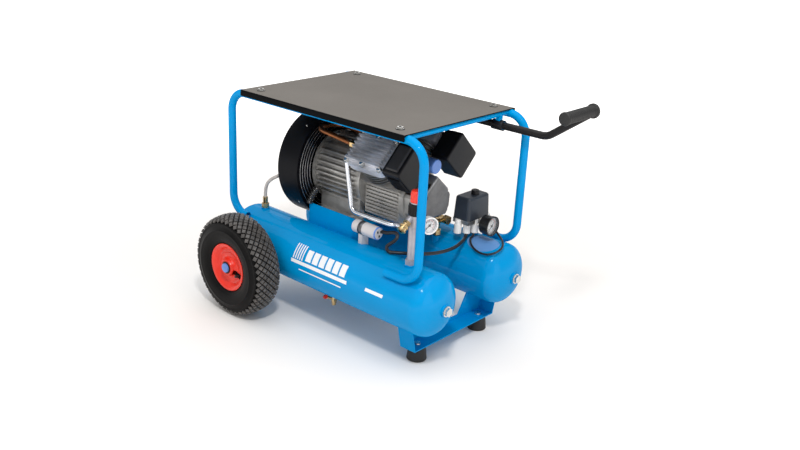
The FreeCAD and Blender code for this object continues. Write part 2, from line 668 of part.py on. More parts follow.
def crankcase_cover():
    """Front cover: a flange, a raised dome with rounded edges, and a cavity behind."""
    flange = prism(cover_outline(COVER_REAR, 1), (7, 0, 0))
    dome = prism(cover_outline(COVER_REAR + 5, -4), (COVER_FRONT - COVER_REAR - 5, 0, 0))
    dome = rounded(dome, 8.0, lambda e: abs(e.BoundBox.XMin - COVER_FRONT) < 0.1)
    cavity = cylinder((COVER_REAR - 1, 0, SHAFT_Z), (1, 0, 0), 36, COVER_FRONT - COVER_REAR - 6)
    whole = united([flange, dome]).cut(cavity)
    for y, z in COVER_BOLTS:
        whole = whole.cut(cylinder((COVER_REAR + 7, y, SHAFT_Z + z), (1, 0, 0), 6, 50))
        whole = whole.cut(cylinder((COVER_REAR - 1, y, SHAFT_Z + z), (1, 0, 0), 2.5, 20))
    return whole


def cylinder_barrel():
    """Cylinder with round cooling fins, between the crankcase seat and the head."""
    length = HEAD_SEAT - SEAT
    barrel = cylinder((0, 0, SEAT), (0, 0, 1), 40, length)
    parts = [barrel]
    for step in range(5):
        parts.append(cylinder((0, 0, SEAT + 6 + 9 * step), (0, 0, 1), 48, 3.0))
    return united(parts).cut(cylinder((0, 0, SEAT - 1), (0, 0, 1), BORE_RADIUS, length + 2))


def cylinder_head():
    """Cast head: a smooth bowed lower wall and a finned top, long along the shaft."""
    base = block((-HEAD_HALF, -44, HEAD_SEAT), (HEAD_HALF, 46, HEAD_SEAT + 26))
    base = rounded(base, 20.0, runs_along(Z_AXIS))
    parts = [base]
    for step in range(8):
        y = -42 + 10.6 * step
        fin = block((-HEAD_HALF + 6, y, HEAD_SEAT + 20), (HEAD_HALF - 6, y + 3.6, HEAD_TOP))
        parts.append(fin)
    parts.append(block((-HEAD_HALF + 14, -40, HEAD_SEAT + 20), (HEAD_HALF - 14, 38, HEAD_TOP - 8)))
    chamber = block((-30, -26, HEAD_SEAT), (30, 26, HEAD_SEAT + 18))
    return united(parts).cut(chamber)


def piston():
    """Piston with its rod. The rod stops short of the crank pin's circle."""
    crown = cylinder((0, 0, 74), (0, 0, 1), BORE_RADIUS - 0.1, 30)
    skirt = cylinder((0, 0, 70), (0, 0, 1), BORE_RADIUS - 5, 26)
    rod = block((-6, -8, 31), (6, 8, 98))
    return crown.cut(skirt).fuse(rod)


def air_filter(low):
    """Moulded intake filter box on the front of a cylinder head."""
    x0 = HEAD_HALF + 3
    high = low + FILTER_HEIGHT
    box = block((x0, -45, low), (x0 + 50, 43, high))
    box = rounded(box, 9.0, runs_along(X_AXIS))
    box = rounded(box, 4.0, lambda e: abs(e.BoundBox.XMin - (x0 + 50)) < 0.1)
    panel = block((x0 + 9, -33, high), (x0 + 41, 31, high + 3))
    neck = cylinder((HEAD_HALF, 0, HEAD_SEAT + 12), (1, 0, 0), 10, 6)
    return united([box, panel, neck])


def breather():
    """Blue crankcase breather cap on the point of the crankcase neck."""
    x = 376.0
    z = SHAFT_Z + 69.5
    neck = cylinder((BREATHER_X, 0, SHAFT_Z + 46), (0, 0, 1), 7, 23.5)
    elbow = cylinder((BREATHER_X - 5, 0, z), (1, 0, 0), 7, x - BREATHER_X + 6)
    cap = cylinder((x, 0, z), (1, 0, 0), 17.5, 35)
    cap = rounded(cap, 3.0, lambda e: isinstance(e.Curve, Part.Circle))
    return united([cap, neck, elbow])


PIPE_Z = 304.0


def cooling_pipe():
    """Copper pipe that loops back over the motor from one head to the other."""
    path = [(231.9, -80, 456), (88, -80, 470), (88, -6, 470), (234, -6, 464), (234, 70, 468),
            (248, 70, 468)]
    return bent_rod(path, [26, 26, 22, 9], 5.0)


def delivery_pipe():
    """Aluminium pipe from the right head down and forward to the check valve."""
    path = [(232, -108, 437), (222, -109, 437), (249, -112, PIPE_Z), (386, -112, PIPE_Z + 2),
            (378, -66, 293), (374, 28, 289), (374, 46, VALVE_Z), (374, 64, VALVE_Z)]
    return bent_rod(path, [7, 20, 20, 60, 14, 14], 4.8)


def pipe_fittings():
    """Brass nuts on the pipes and the elbows that carry the balance hose."""
    nuts = [hexagon((211, -80, 458.1), (1, 0, -0.094), 17, 19).cut(cooling_pipe()),
            hexagon((374, 56, VALVE_Z), (0, 1, 0), 15, 8).cut(delivery_pipe())]
    top = TANK_Z + TANK_RADIUS + 3
    stem = united([hexagon((HOSE_BOSS_X, -TANK_Y, top), (0, 0, 1), 17, 12),
                   cylinder((HOSE_BOSS_X, -TANK_Y, top), (0, 0, 1), 6.5, HOSE_TOP - top)])
    return nuts + both_sides(stem)


HOSE_TOP = 268.0


def check_valve():
    """Brass non-return valve standing on the left tank, with a side port for the pipe."""
    z = VALVE_Z
    foot = TANK_Z + math.sqrt(TANK_RADIUS ** 2 - (TANK_Y - VALVE_Y) ** 2)
    body = [cylinder((331, VALVE_Y, z), (1, 0, 0), 9, 58), hexagon((331, VALVE_Y, z), (1, 0, 0), 21, 9),
            hexagon((379, VALVE_Y, z), (1, 0, 0), 21, 12),
            cylinder((VALVE_X, VALVE_Y, foot + 6), (0, 0, 1), 7, z - foot - 6),
            hexagon((VALVE_X, VALVE_Y, foot + 8), (0, 0, 1), 19, 12),
            cylinder((374, 64, z), (0, 1, 0), 8, 14)]
    return united(body)


# ---- air outlet and gauges ----
def regulator_body():
    """Riser pipe from the right tank with the cast pressure regulator on top."""
    base = TANK_Z + TANK_RADIUS + 3
    riser = cylinder((RISER_X, -TANK_Y, base), (0, 0, 1), RISER_RADIUS, 98)
    collar = hexagon((RISER_X, -TANK_Y, base), (0, 0, 1), 22, 12)
    chest = cylinder((REGULATOR_X, -TANK_Y, 332), (0, 0, 1), 16.5, 34)
    chest = rounded(chest, 3.0, lambda e: isinstance(e.Curve, Part.Circle))
    bonnet = cylinder((REGULATOR_X, -TANK_Y, 364), (0, 0, 1), 15, KNOB_START - 364)
    boss = cylinder(along(SMALL_GAUGE_BASE, GAUGE_DIR, -14), GAUGE_DIR, 8, 14)
    outlet = cylinder(along(COUPLER_BASE, COUPLER_DIR, -16), COUPLER_DIR, 7.5, 16)
    whole = united([riser, collar, chest, bonnet, boss, outlet])
    spindle = cylinder((REGULATOR_X, -TANK_Y, KNOB_START - 8), (0, 0, 1), 5 + FIT_GAP, 20)
    return whole.cut(spindle)


def regulator_knob():
    """Red setting knob with grip ribs, on the regulator's spindle."""
    start = KNOB_START + SOFT_GAP
    knob = cylinder((REGULATOR_X, -TANK_Y, start), (0, 0, 1), 13.5, 27)
    knob = rounded(knob, 4.0, lambda e: isinstance(e.Curve, Part.Circle) and e.Vertexes[0].Z > start + 1)
    ribs = []
    for number in range(12):
        angle = math.radians(30 * number)
        ribs.append(cylinder((REGULATOR_X + 13 * math.cos(angle), -TANK_Y + 13 * math.sin(angle), start),
                             (0, 0, 1), 1.8, 20))
    spindle = cylinder((REGULATOR_X, -TANK_Y, KNOB_START - 7), (0, 0, 1), 5, 10)
    return united([knob, spindle] + ribs)


def along(base, direction, distance):
    length = math.sqrt(sum(d * d for d in direction))
    return tuple(b + d / length * distance for b, d in zip(base, direction))


COUPLER_BASE = (462.0, -155.5, 347.8)
COUPLER_BORE = 5.0


def quick_coupler():
    """Brass coupler body with the bore that takes an air line's plug."""
    body = united([aimed(cylinder((0, 0, 0), (0, 0, 1), 8, 9), COUPLER_BASE, COUPLER_DIR),
                   hexagon(COUPLER_BASE, COUPLER_DIR, 17, 6),
                   aimed(cylinder((0, 0, 8), (0, 0, 1), 7, 20), COUPLER_BASE, COUPLER_DIR)])
    bore = aimed(cylinder((0, 0, 8), (0, 0, 1), COUPLER_BORE, 30), COUPLER_BASE, COUPLER_DIR)
    return body.cut(bore)


def coupler_sleeve():
    """Sliding sleeve that releases the plug when it is pulled back."""
    sleeve = ring((0, 0, 12.5), (0, 0, 1), 10, 7 + FIT_GAP, 14)
    groove = ring((0, 0, 17), (0, 0, 1), 12, 9, 5)
    return aimed(sleeve.cut(groove), COUPLER_BASE, COUPLER_DIR)


def gauge_case(radius, depth, rim):
    """Round gauge case along +Z, open in front, with a rim and a stem behind."""
    case = cylinder((0, 0, 0), (0, 0, 1), radius - rim, depth)
    bezel = cylinder((0, 0, depth - 6), (0, 0, 1), radius, 6)
    recess = cylinder((0, 0, depth - 7), (0, 0, 1), radius - rim - 1.2, 10)
    pivot = cylinder((0, 0, depth - 7), (0, 0, 1), 1.5, 2.5)
    return united([case, bezel]).cut(recess).fuse(pivot)


def gauge_needle(radius, depth, rim):
    """Pointer with a round boss that turns on the pivot inside the case."""
    reach = radius - rim - 4
    level = depth - 7 + 2.5 + SOFT_GAP
    outline = [(-1.1, -6, level), (1.1, -6, level), (0.5, reach, level), (-0.5, reach, level)]
    blade = prism(outline, (0, 0, 0.8))
    return blade.fuse(cylinder((0, 0, level), (0, 0, 1), 2.8, 1.6))


SMALL_GAUGE = (20.0, 16.0, 1.5)
LARGE_GAUGE = (25.0, 26.0, 1.5)
SMALL_GAUGE_BASE = (493.5, -126.5, 346.0)
LARGE_GAUGE_BASE = (470.0, 125.0, 276.0)
NEEDLE_REST = 135.0


def place_dial(shape, base, direction):
    """Faces a gauge along a level direction, with its pointer at the lower left."""
    shape = shape.copy()
    heading = math.degrees(math.atan2(direction[1], direction[0]))
    shape.rotate(Vector(0, 0, 0), Z_AXIS, heading - NEEDLE_REST)
    return aimed(shape, base, direction)


def place_small(shape):
    return place_dial(shape, SMALL_GAUGE_BASE, GAUGE_DIR)


def place_large(shape):
    return place_dial(shape, LARGE_GAUGE_BASE, (1, 0, 0))


# ---- pressure switch ----
SWITCH_LOW = 285.0
SWITCH_HIGH = 342.0
SWITCH_HALF_X = 26.0
SWITCH_HALF_Y = 43.0
GLAND_PLACES = ((420.5, 84.0), (435.5, 101.0), (446.0, 119.5))


def pressure_switch_base():
    """Cast switch body on its nipple, with the gauge port and the safety valve seat."""
    base = TANK_Z + TANK_RADIUS + 3
    plate = block((SWITCH_X - SWITCH_HALF_X + 2, SWITCH_Y - SWITCH_HALF_Y + 2, 274),
                  (SWITCH_X + SWITCH_HALF_X - 2, SWITCH_Y + SWITCH_HALF_Y - 2, SWITCH_LOW))
    foot = block((SWITCH_X - 16, 124, 256), (SWITCH_X + 14, 156, 276))
    nipple = cylinder((SWITCH_X - 2, TANK_Y + 6, base), (0, 0, 1), 9, 22)
    nut = hexagon((SWITCH_X - 2, TANK_Y + 6, base), (0, 0, 1), 22, 9)
    port = cylinder((SWITCH_X, 134, 268), (1, 0, 0), 7, 42)
    elbow = cylinder((466, 125, 276), (1, 0, 0), 7, 4)
    link = block((462, 122, 262), (470, 138, 280))
    seat = united([hexagon((SWITCH_X, 150, 266), (0, 1, 0), 15, 24),
                   cylinder((SWITCH_X, 150, 266), (0, 1, 0), 6, 34)])
    whole = united([plate, foot, nipple, nut, port, elbow, link, seat])
    bore = cylinder((SWITCH_X, 176, 266), (0, 1, 0), 3 + FIT_GAP, 20)
    for x, y in GLAND_PLACES:
        whole = whole.cut(cylinder((x, y, 240), (0, 0, 1), 9.3, 60))
    return whole.cut(bore)


def pressure_switch_cover():
    """Moulded cover, narrower at the top, with a hollow inside and a hole for the knob."""
    low = Part.makePolygon([Vector(*p) for p in cover_corners(0, SWITCH_LOW)])
    high = Part.makePolygon([Vector(*p) for p in cover_corners(2.5, SWITCH_HIGH)])
    shell = Part.makeLoft([low, high], True)
    upright = [e for e in shell.Edges if e.BoundBox.ZLength > 30]
    shell = shell.makeFillet(10.0, upright)
    shell = rounded(shell, 7.0, lambda e: e.BoundBox.ZMin > SWITCH_HIGH - 0.1)
    hollow = block((SWITCH_X - 17, SWITCH_Y - 34, SWITCH_LOW - 1),
                   (SWITCH_X + 17, SWITCH_Y + 34, SWITCH_HIGH - 5))
    knob_way = cylinder((SWITCH_X + 5, SWITCH_Y + 3, SWITCH_HIGH - 10), (0, 0, 1), 5 + FIT_GAP, 20)
    return shell.cut(hollow).cut(knob_way)


def cover_corners(inset, z):
    dx = SWITCH_HALF_X - inset
    dy = SWITCH_HALF_Y - inset
    signs = [(-1, -1), (1, -1), (1, 1), (-1, 1), (-1, -1)]
    return [(SWITCH_X + sx * dx, SWITCH_Y + sy * dy, z) for sx, sy in signs]


def switch_knob():
    """On-off button of the pressure switch; it lifts to start and drops to stop."""
    top = cylinder((SWITCH_X + 5, SWITCH_Y + 3, SWITCH_HIGH + SOFT_GAP), (0, 0, 1), 10, 11)
    top = rounded(top, 2.0, lambda e: isinstance(e.Curve, Part.Circle) and
                  e.Vertexes[0].Z > SWITCH_HIGH + 5)
    return top.fuse(cylinder((SWITCH_X + 5, SWITCH_Y + 3, SWITCH_HIGH - 14), (0, 0, 1), 5, 16))


def cable_glands():
    glands = []
    for x, y in GLAND_PLACES:
        body = united([cylinder((x, y, 249), (0, 0, 1), 9.2, 22),
                       cylinder((x, y, 271), (0, 0, 1), 7.5, 14)])
        glands.append(body.cut(cylinder((x, y, 240), (0, 0, 1), 4.3, 24)))
    return glands


def safety_valve_ring():
    """Spring-loaded stem of the safety valve with the ring that a finger pulls."""
    stem = cylinder((SWITCH_X, 177, 266), (0, 1, 0), 3, 13)
    hoop = Part.makeTorus(8, 1.2, Vector(SWITCH_X, 197.5, 266), X_AXIS)
    return stem.fuse(hoop)


# ---- drains ----
def drain_valves():
    """Ball valve under each tank, with its outlet pointing down."""
    top = TANK_Z - TANK_RADIUS - 3
    body = united([cylinder((DRAIN_X, TANK_Y, top - 24), (0, 0, 1), 6.5, 24),
                   hexagon((DRAIN_X, TANK_Y, top - 7), (0, 0, 1), 15, 7),
                   cylinder((DRAIN_X - 18, TANK_Y, top - 15), (1, 0, 0), 5.5, 24),
                   cylinder((DRAIN_X, TANK_Y, top - 30), (0, 0, 1), 5, 8)])
    body = body.cut(cylinder((DRAIN_X, TANK_Y, top - 31), (0, 0, 1), 3, 12))
    body = body.cut(cylinder((DRAIN_X - 20, TANK_Y, top - 15), (1, 0, 0), 2 + FIT_GAP, 9))
    return both_sides(body)


def drain_lever():
    """Small lever on the valve's rear side; it turns a quarter to open the drain."""
    z = TANK_Z - TANK_RADIUS - 18
    x = DRAIN_X - 18 - SOFT_GAP
    boss = cylinder((x - 5, TANK_Y, z), (1, 0, 0), 5.5, 5)
    wings = block((x - 8, TANK_Y - 13, z - 5), (x - 4, TANK_Y + 13, z + 5))
    wings = rounded(wings, 4.5, runs_along(X_AXIS))
    spindle = cylinder((x - 1, TANK_Y, z), (1, 0, 0), 2, 7)
    return united([boss, wings, spindle])


# ---- electrics ----
def capacitor():
    """Motor capacitor lying on a small saddle on the right tank."""
    y = -113.0
    z = 273.0
    can = cylinder((262, y, z), (1, 0, 0), 16, 78)
    can = rounded(can, 5.0, lambda e: isinstance(e.Curve, Part.Circle))
    saddle = block((284, y - 11, 226), (296, y + 11, z - 8)).cut(mirrored(TANK_OUTER))
    return can.fuse(saddle)


def conduit():
    """Ribbed sleeve that takes the motor's leads from the motor down to its foot."""
    path = [(102, -88, 318), (92, -98, 296), (92, -104, 284)]
    sleeve = bent_rod(path, [22], 7.5)
    return sleeve.cut(motor_housing()).cut(motor_mount())


# ---- free cords ----
MOTOR_CABLE = [(340.5, -104, 276), (354, -104, 276.5), (367, -101.5, 281), (380, -99, 284),
               (389.5, -102, 280), (390, -109, 271.5), (382.5, -116, 263), (374.4, -122, 255.5),
               (374.6, -122.6, 246.5), (380, -119.5, 240.3), (390, -113, 240.8), (405, -102, 241),
               (424, -82, 240), (442, -50, 236), (453, -8, 233), (454, 36, 233), (447, 66, 235),
               (440, 88, 236), (435.5, 101, 242), (435.5, 101, 256)]
SWITCH_LEAD = [(446, 119.5, 256), (447, 117, 242), (448, 100, 238), (464, 84, 230), (490, 74, 222),
               (520, 76, 222), (540, 90, 232), (540, 110, 240), (524, 132, 244), (500, 150, 246),
               (478, 156, 258), (458, 150, 268), (447, 146, 270)]
BALANCE_HOSE = [(-44, -132.5, HOSE_TOP), (-44, -132.5, 296), (-33, -126, 316), (-14, -100, 330),
                (-8, -60, 336), (-8, -15, 337), (-8, 30, 336), (-10, 70, 333), (-20, 104, 324),
                (-36, 127, 308), (-44, 132.5, 288), (-44, 132.5, HOSE_TOP)]
CORD_SHARE = 0.45


def cord_radii(points):
    """Largest radius that two neighbouring runs allow at each corner."""
    corners = [Vector(*p) for p in points]
    radii = []
    for before, here, after in zip(corners, corners[1:], corners[2:]):
        turn = (here - before).getAngle(after - here)
        shorter = min((here - before).Length, (after - here).Length)
        radii.append(CORD_SHARE * shorter / math.tan(turn / 2))
    return radii


def cord(name, points, radius):
    radii = cord_radii(points)
    shape = bent_rod(points, radii, radius)
    length = bent_path(points, radii).Length
    share = shape.Volume / (math.pi * radius ** 2 * length)
    print(name, "length", round(length), "radii", [round(r) for r in radii], "share", round(share, 4))
    return shape


# ---- fasteners ----
def machine_bolts():
    """Hex bolts of the feet, motor mount, top plate and crankcase cover."""
    bolts = [hex_bolt((FEET_X, y, FOOT_HEIGHT + BRACKET_SHEET), (0, 0, 1), 8, 20)
             for y in (-FEET_Y, FEET_Y)]
    bolts += [hex_bolt((x, y, MOUNT_FLOOR + 12), (0, 0, 1), 8, 20) for x, y in mount_bolt_places()]
    bolts += [hex_bolt((x, y, PLATE_TOP), (0, 0, 1), 8, 14)
              for x in PLATE_BOLT_X for y in (-PLATE_BOLT_Y, PLATE_BOLT_Y)]
    for y, z in COVER_BOLTS:
        bolts.append(hex_bolt((COVER_REAR + 7, y, SHAFT_Z + z), (1, 0, 0), 5, 7))
    return bolts


def save(name, shapes):
    """Moves the shapes to the origin frame and writes them as one named node."""
    solids = [s for shape in shapes for s in shape.Solids]
    for solid in solids:
        solid.translate(TO_ORIGIN)
    whole = Part.makeCompound(solids) if len(solids) > 1 else solids[0]
    whole.exportStep("parts/" + name + ".step")
    print(name, len(solids), "valid" if whole.isValid() else "NOT VALID", round(whole.Volume / 1000, 1))


def main():
    os.makedirs("parts", exist_ok=True)
    hose_boss = (HOSE_BOSS_X, TANK_Y, TANK_Z + TANK_RADIUS + 3, 11)
    right = [hose_boss, (RISER_X, TANK_Y, TANK_Z + TANK_RADIUS + 3, 15)]
    foot = TANK_Z + math.sqrt(TANK_RADIUS ** 2 - (TANK_Y - VALVE_Y) ** 2)
    left = [hose_boss, (SWITCH_X - 2, TANK_Y + 6, TANK_Z + TANK_RADIUS + 3, 15),
            (VALVE_X, VALVE_Y, foot + 6, 12)]
    save("left_tank", [air_tank(left)])
    save("right_tank", [mirrored(air_tank(right))])
    save("tank_end_plugs", tank_end_plugs())
    save("stub_axles", stub_axles())
    save("hub_caps", hub_caps())
    save("wheel_bearings", wheel_bearings())
    for name, make in (("tyre", tyre), ("rim", rim), ("inner_tube", inner_tube)):
        shape = on_left_axle(make())
        save("left_" + name, [shape])
        save("right_" + name, [mirrored(shape)])
    save("foot_bracket", [foot_bracket()])
    save("rubber_feet", rubber_feet())
    save("machine_bolts", machine_bolts())
    loop = cage_loop()
    save("left_cage_loop", [loop])
    save("right_cage_loop", [mirrored(loop)])
    save("cage_crossbars", cage_crossbars())
    save("top_plate", [top_plate()])
    save("handle_tube", [handle_tube()])
    save("handle_grip", [handle_grip()])
    save("motor_mount", [motor_mount()])
    save("motor_housing", [motor_housing()])
    save("stator", [stator()])
    save("motor_bearings", motor_bearings())
    save("rotor_shaft", [rotor_shaft()])
    save("cooling_fan", [cooling_fan()])
    save("fan_cowl", [fan_cowl()])
    save("crankcase", [crankcase()])
    save("crankcase_cover", [crankcase_cover()])
    save("cylinder_barrels", banks(cylinder_barrel()))
    save("cylinder_heads", banks(cylinder_head()))
    save("pistons", banks(piston()))
    save("air_filters", [to_bank(air_filter(low), bank) for bank, low in enumerate(FILTER_LOW)])
    save("breather", [breather()])
    save("cooling_pipe", [cooling_pipe()])
    save("delivery_pipe", [delivery_pipe()])
    save("pipe_fittings", pipe_fittings())
    save("check_valve", [check_valve()])
    save("regulator_body", [regulator_body()])
    save("regulator_knob", [regulator_knob()])
    save("quick_coupler", [quick_coupler()])
    save("coupler_sleeve", [coupler_sleeve()])
    save("regulator_gauge", [place_small(gauge_case(*SMALL_GAUGE))])
    save("regulator_needle", [place_small(gauge_needle(*SMALL_GAUGE))])
    save("tank_gauge", [place_large(gauge_case(*LARGE_GAUGE))])
    save("tank_needle", [place_large(gauge_needle(*LARGE_GAUGE))])
    save("pressure_switch_base", [pressure_switch_base()])
    save("pressure_switch_cover", [pressure_switch_cover()])
    save("switch_knob", [switch_knob()])
    save("cable_glands", cable_glands())
    save("safety_valve_ring", [safety_valve_ring()])
    save("drain_valves", drain_valves())
    save("left_drain_lever", [drain_lever()])
    save("right_drain_lever", [mirrored(drain_lever())])
    save("capacitor", [capacitor()])
    save("conduit", [conduit()])
    save("motor_cable", [cord("motor cable", MOTOR_CABLE, 4.2)])
    save("switch_lead", [cord("switch lead", SWITCH_LEAD, 2.6)])
    save("balance_hose", [cord("balance hose", BALANCE_HOSE, 4.5)])


main()
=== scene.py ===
import bpy
import bmesh
import json
import math
import random
from mathutils import Matrix, Vector


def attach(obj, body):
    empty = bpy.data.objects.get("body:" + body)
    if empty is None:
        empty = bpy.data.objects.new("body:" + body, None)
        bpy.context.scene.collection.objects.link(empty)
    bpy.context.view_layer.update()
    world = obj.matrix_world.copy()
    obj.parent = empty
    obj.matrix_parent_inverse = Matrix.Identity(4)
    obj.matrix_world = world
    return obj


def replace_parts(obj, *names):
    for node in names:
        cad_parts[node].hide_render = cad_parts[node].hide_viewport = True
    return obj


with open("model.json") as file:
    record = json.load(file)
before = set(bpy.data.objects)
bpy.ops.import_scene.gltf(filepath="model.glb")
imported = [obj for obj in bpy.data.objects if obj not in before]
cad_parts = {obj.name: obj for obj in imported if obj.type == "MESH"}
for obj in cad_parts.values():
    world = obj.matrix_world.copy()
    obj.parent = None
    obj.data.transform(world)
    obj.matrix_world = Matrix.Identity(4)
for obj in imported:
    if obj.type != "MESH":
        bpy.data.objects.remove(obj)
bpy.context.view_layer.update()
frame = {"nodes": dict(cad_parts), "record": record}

# metres, in the row frame
SHIFT = -0.3065          # x of the wheel axle, from which the CAD is drawn
TANK_R = 0.076
WHEEL_Y = 0.2613
WHEEL_R = 0.130
# millimetres, in the CAD's axle frame, for mm()
TANK_Y = 132.5
TANK_Z = 160.3
SHAFT_Z = 362.0          # height of the shaft that the motor, the pump and the cowl share
CAPACITOR_Y, CAPACITOR_Z = -113, 273
UP = Vector((0, 0, 1))
FORWARD = Vector((1, 0, 0))
random.seed(7)


# ---- materials ----

def nodes_of(name):
    mat = bpy.data.materials.new(name)
    mat.use_nodes = True
    tree = mat.node_tree
    shader = tree.nodes["Principled BSDF"]
    return mat, tree, shader


def noise(tree, scale, detail):
    coords = tree.nodes.new("ShaderNodeTexCoord")
    grain = tree.nodes.new("ShaderNodeTexNoise")
    grain.inputs["Scale"].default_value = scale
    grain.inputs["Detail"].default_value = detail
    grain.inputs["Roughness"].default_value = 0.55
    tree.links.new(coords.outputs["Object"], grain.inputs["Vector"])
    return grain


def ramp(tree, source, low, high, start=0.3, end=0.7):
    node = tree.nodes.new("ShaderNodeValToRGB")
    node.color_ramp.elements[0].position = start
    node.color_ramp.elements[0].color = (*low, 1)
    node.color_ramp.elements[1].position = end
    node.color_ramp.elements[1].color = (*high, 1)
    tree.links.new(source, node.inputs["Fac"])
    return node.outputs["Color"]


def spread(tree, source, low, high):
    node = tree.nodes.new("ShaderNodeMapRange")
    node.inputs["From Min"].default_value = 0.3
    node.inputs["From Max"].default_value = 0.7
    node.inputs["To Min"].default_value = low
    node.inputs["To Max"].default_value = high
    tree.links.new(source, node.inputs["Value"])
    return node.outputs["Result"]


def bump(tree, height, depth, strength):
    node = tree.nodes.new("ShaderNodeBump")
    node.inputs["Distance"].default_value = depth
    node.inputs["Strength"].default_value = strength
    tree.links.new(height, node.inputs["Height"])
    return node.outputs["Normal"]


def finish_of(name, colour, rough, metal, vary, patch, grain, depth, strength, coat=0.0,
              specular=0.5):
    """A surface with slow colour drift, roughness variation and a fine grain in its bump.

    vary is the drift's share of the colour; patch and grain are noise scales; depth is in metres.
    """
    mat, tree, shader = nodes_of(name)
    slow = noise(tree, patch, 4.0)
    dark = tuple(c * (1 - vary) for c in colour)
    light = tuple(min(1.0, c * (1 + vary)) for c in colour)
    tree.links.new(ramp(tree, slow.outputs["Fac"], dark, light), shader.inputs["Base Color"])
    fine = noise(tree, grain, 2.0)
    gloss = spread(tree, fine.outputs["Fac"], max(0.02, rough * 0.85), min(1.0, rough * 1.2))
    tree.links.new(gloss, shader.inputs["Roughness"])
    tree.links.new(bump(tree, fine.outputs["Fac"], depth, strength), shader.inputs["Normal"])
    shader.inputs["Metallic"].default_value = metal
    shader.inputs["Specular IOR Level"].default_value = specular
    shader.inputs["Coat Weight"].default_value = coat
    shader.inputs["Coat Roughness"].default_value = 0.06
    return mat


def cast_metal(name, colour, rough, metal, grit=420.0, depth=0.0004):
    """Cast metal: mottled, with a pitted skin."""
    mat, tree, shader = nodes_of(name)
    slow = noise(tree, 26.0, 6.0)
    dark = tuple(c * 0.62 for c in colour)
    mottle = ramp(tree, slow.outputs["Fac"], dark, colour, 0.32, 0.62)
    tree.links.new(mottle, shader.inputs["Base Color"])
    pits = noise(tree, grit, 3.0)
    gloss = spread(tree, pits.outputs["Fac"], rough * 0.75, rough * 1.25)
    tree.links.new(gloss, shader.inputs["Roughness"])
    tree.links.new(bump(tree, pits.outputs["Fac"], depth, 0.5), shader.inputs["Normal"])
    shader.inputs["Metallic"].default_value = metal
    return mat


def plate_finish():
    """Top plate: black satin powder coat; faces that look up are painted a textured warm grey, a
    painted reflection of the light above.
    """
    mat, tree, shader = nodes_of("plate_black_with_painted_reflection")
    geometry = tree.nodes.new("ShaderNodeNewGeometry")
    split = tree.nodes.new("ShaderNodeSeparateXYZ")
    tree.links.new(geometry.outputs["Normal"], split.inputs["Vector"])
    # faces whose normal points up get the painted reflection, the others keep the black coat
    level = tree.nodes.new("ShaderNodeMath")
    level.operation = "GREATER_THAN"
    level.inputs[1].default_value = 0.9
    tree.links.new(split.outputs["Z"], level.inputs[0])
    slow = noise(tree, 5.0, 5.0)
    # warm grey of the painted reflection on the upward faces, drifting slowly
    grey = ramp(tree, slow.outputs["Fac"], (0.148, 0.136, 0.123), (0.170, 0.157, 0.142))
    mix = tree.nodes.new("ShaderNodeMix")
    mix.data_type = "RGBA"
    tree.links.new(level.outputs["Value"], mix.inputs["Factor"])
    mix.inputs["A"].default_value = (0.0015, 0.0022, 0.0030, 1)
    tree.links.new(grey, mix.inputs["B"])
    tree.links.new(mix.outputs["Result"], shader.inputs["Base Color"])
    fine = noise(tree, 900.0, 2.0)
    tree.links.new(spread(tree, fine.outputs["Fac"], 0.5, 0.68), shader.inputs["Roughness"])
    tree.links.new(bump(tree, fine.outputs["Fac"], 0.0001, 0.35), shader.inputs["Normal"])
    shader.inputs["Specular IOR Level"].default_value = 0.05
    return mat


def glass_lens():
    """Thin clear lens of a gauge."""
    mat, tree, shader = nodes_of("lens_clear")
    fine = noise(tree, 200.0, 2.0)
    tree.links.new(spread(tree, fine.outputs["Fac"], 0.03, 0.07), shader.inputs["Roughness"])
    shader.inputs["Base Color"].default_value = (0.9, 0.93, 0.95, 1)
    shader.inputs["Alpha"].default_value = 0.10
    shader.inputs["Specular IOR Level"].default_value = 0.8
    mat.surface_render_method = "BLENDED"
    return mat


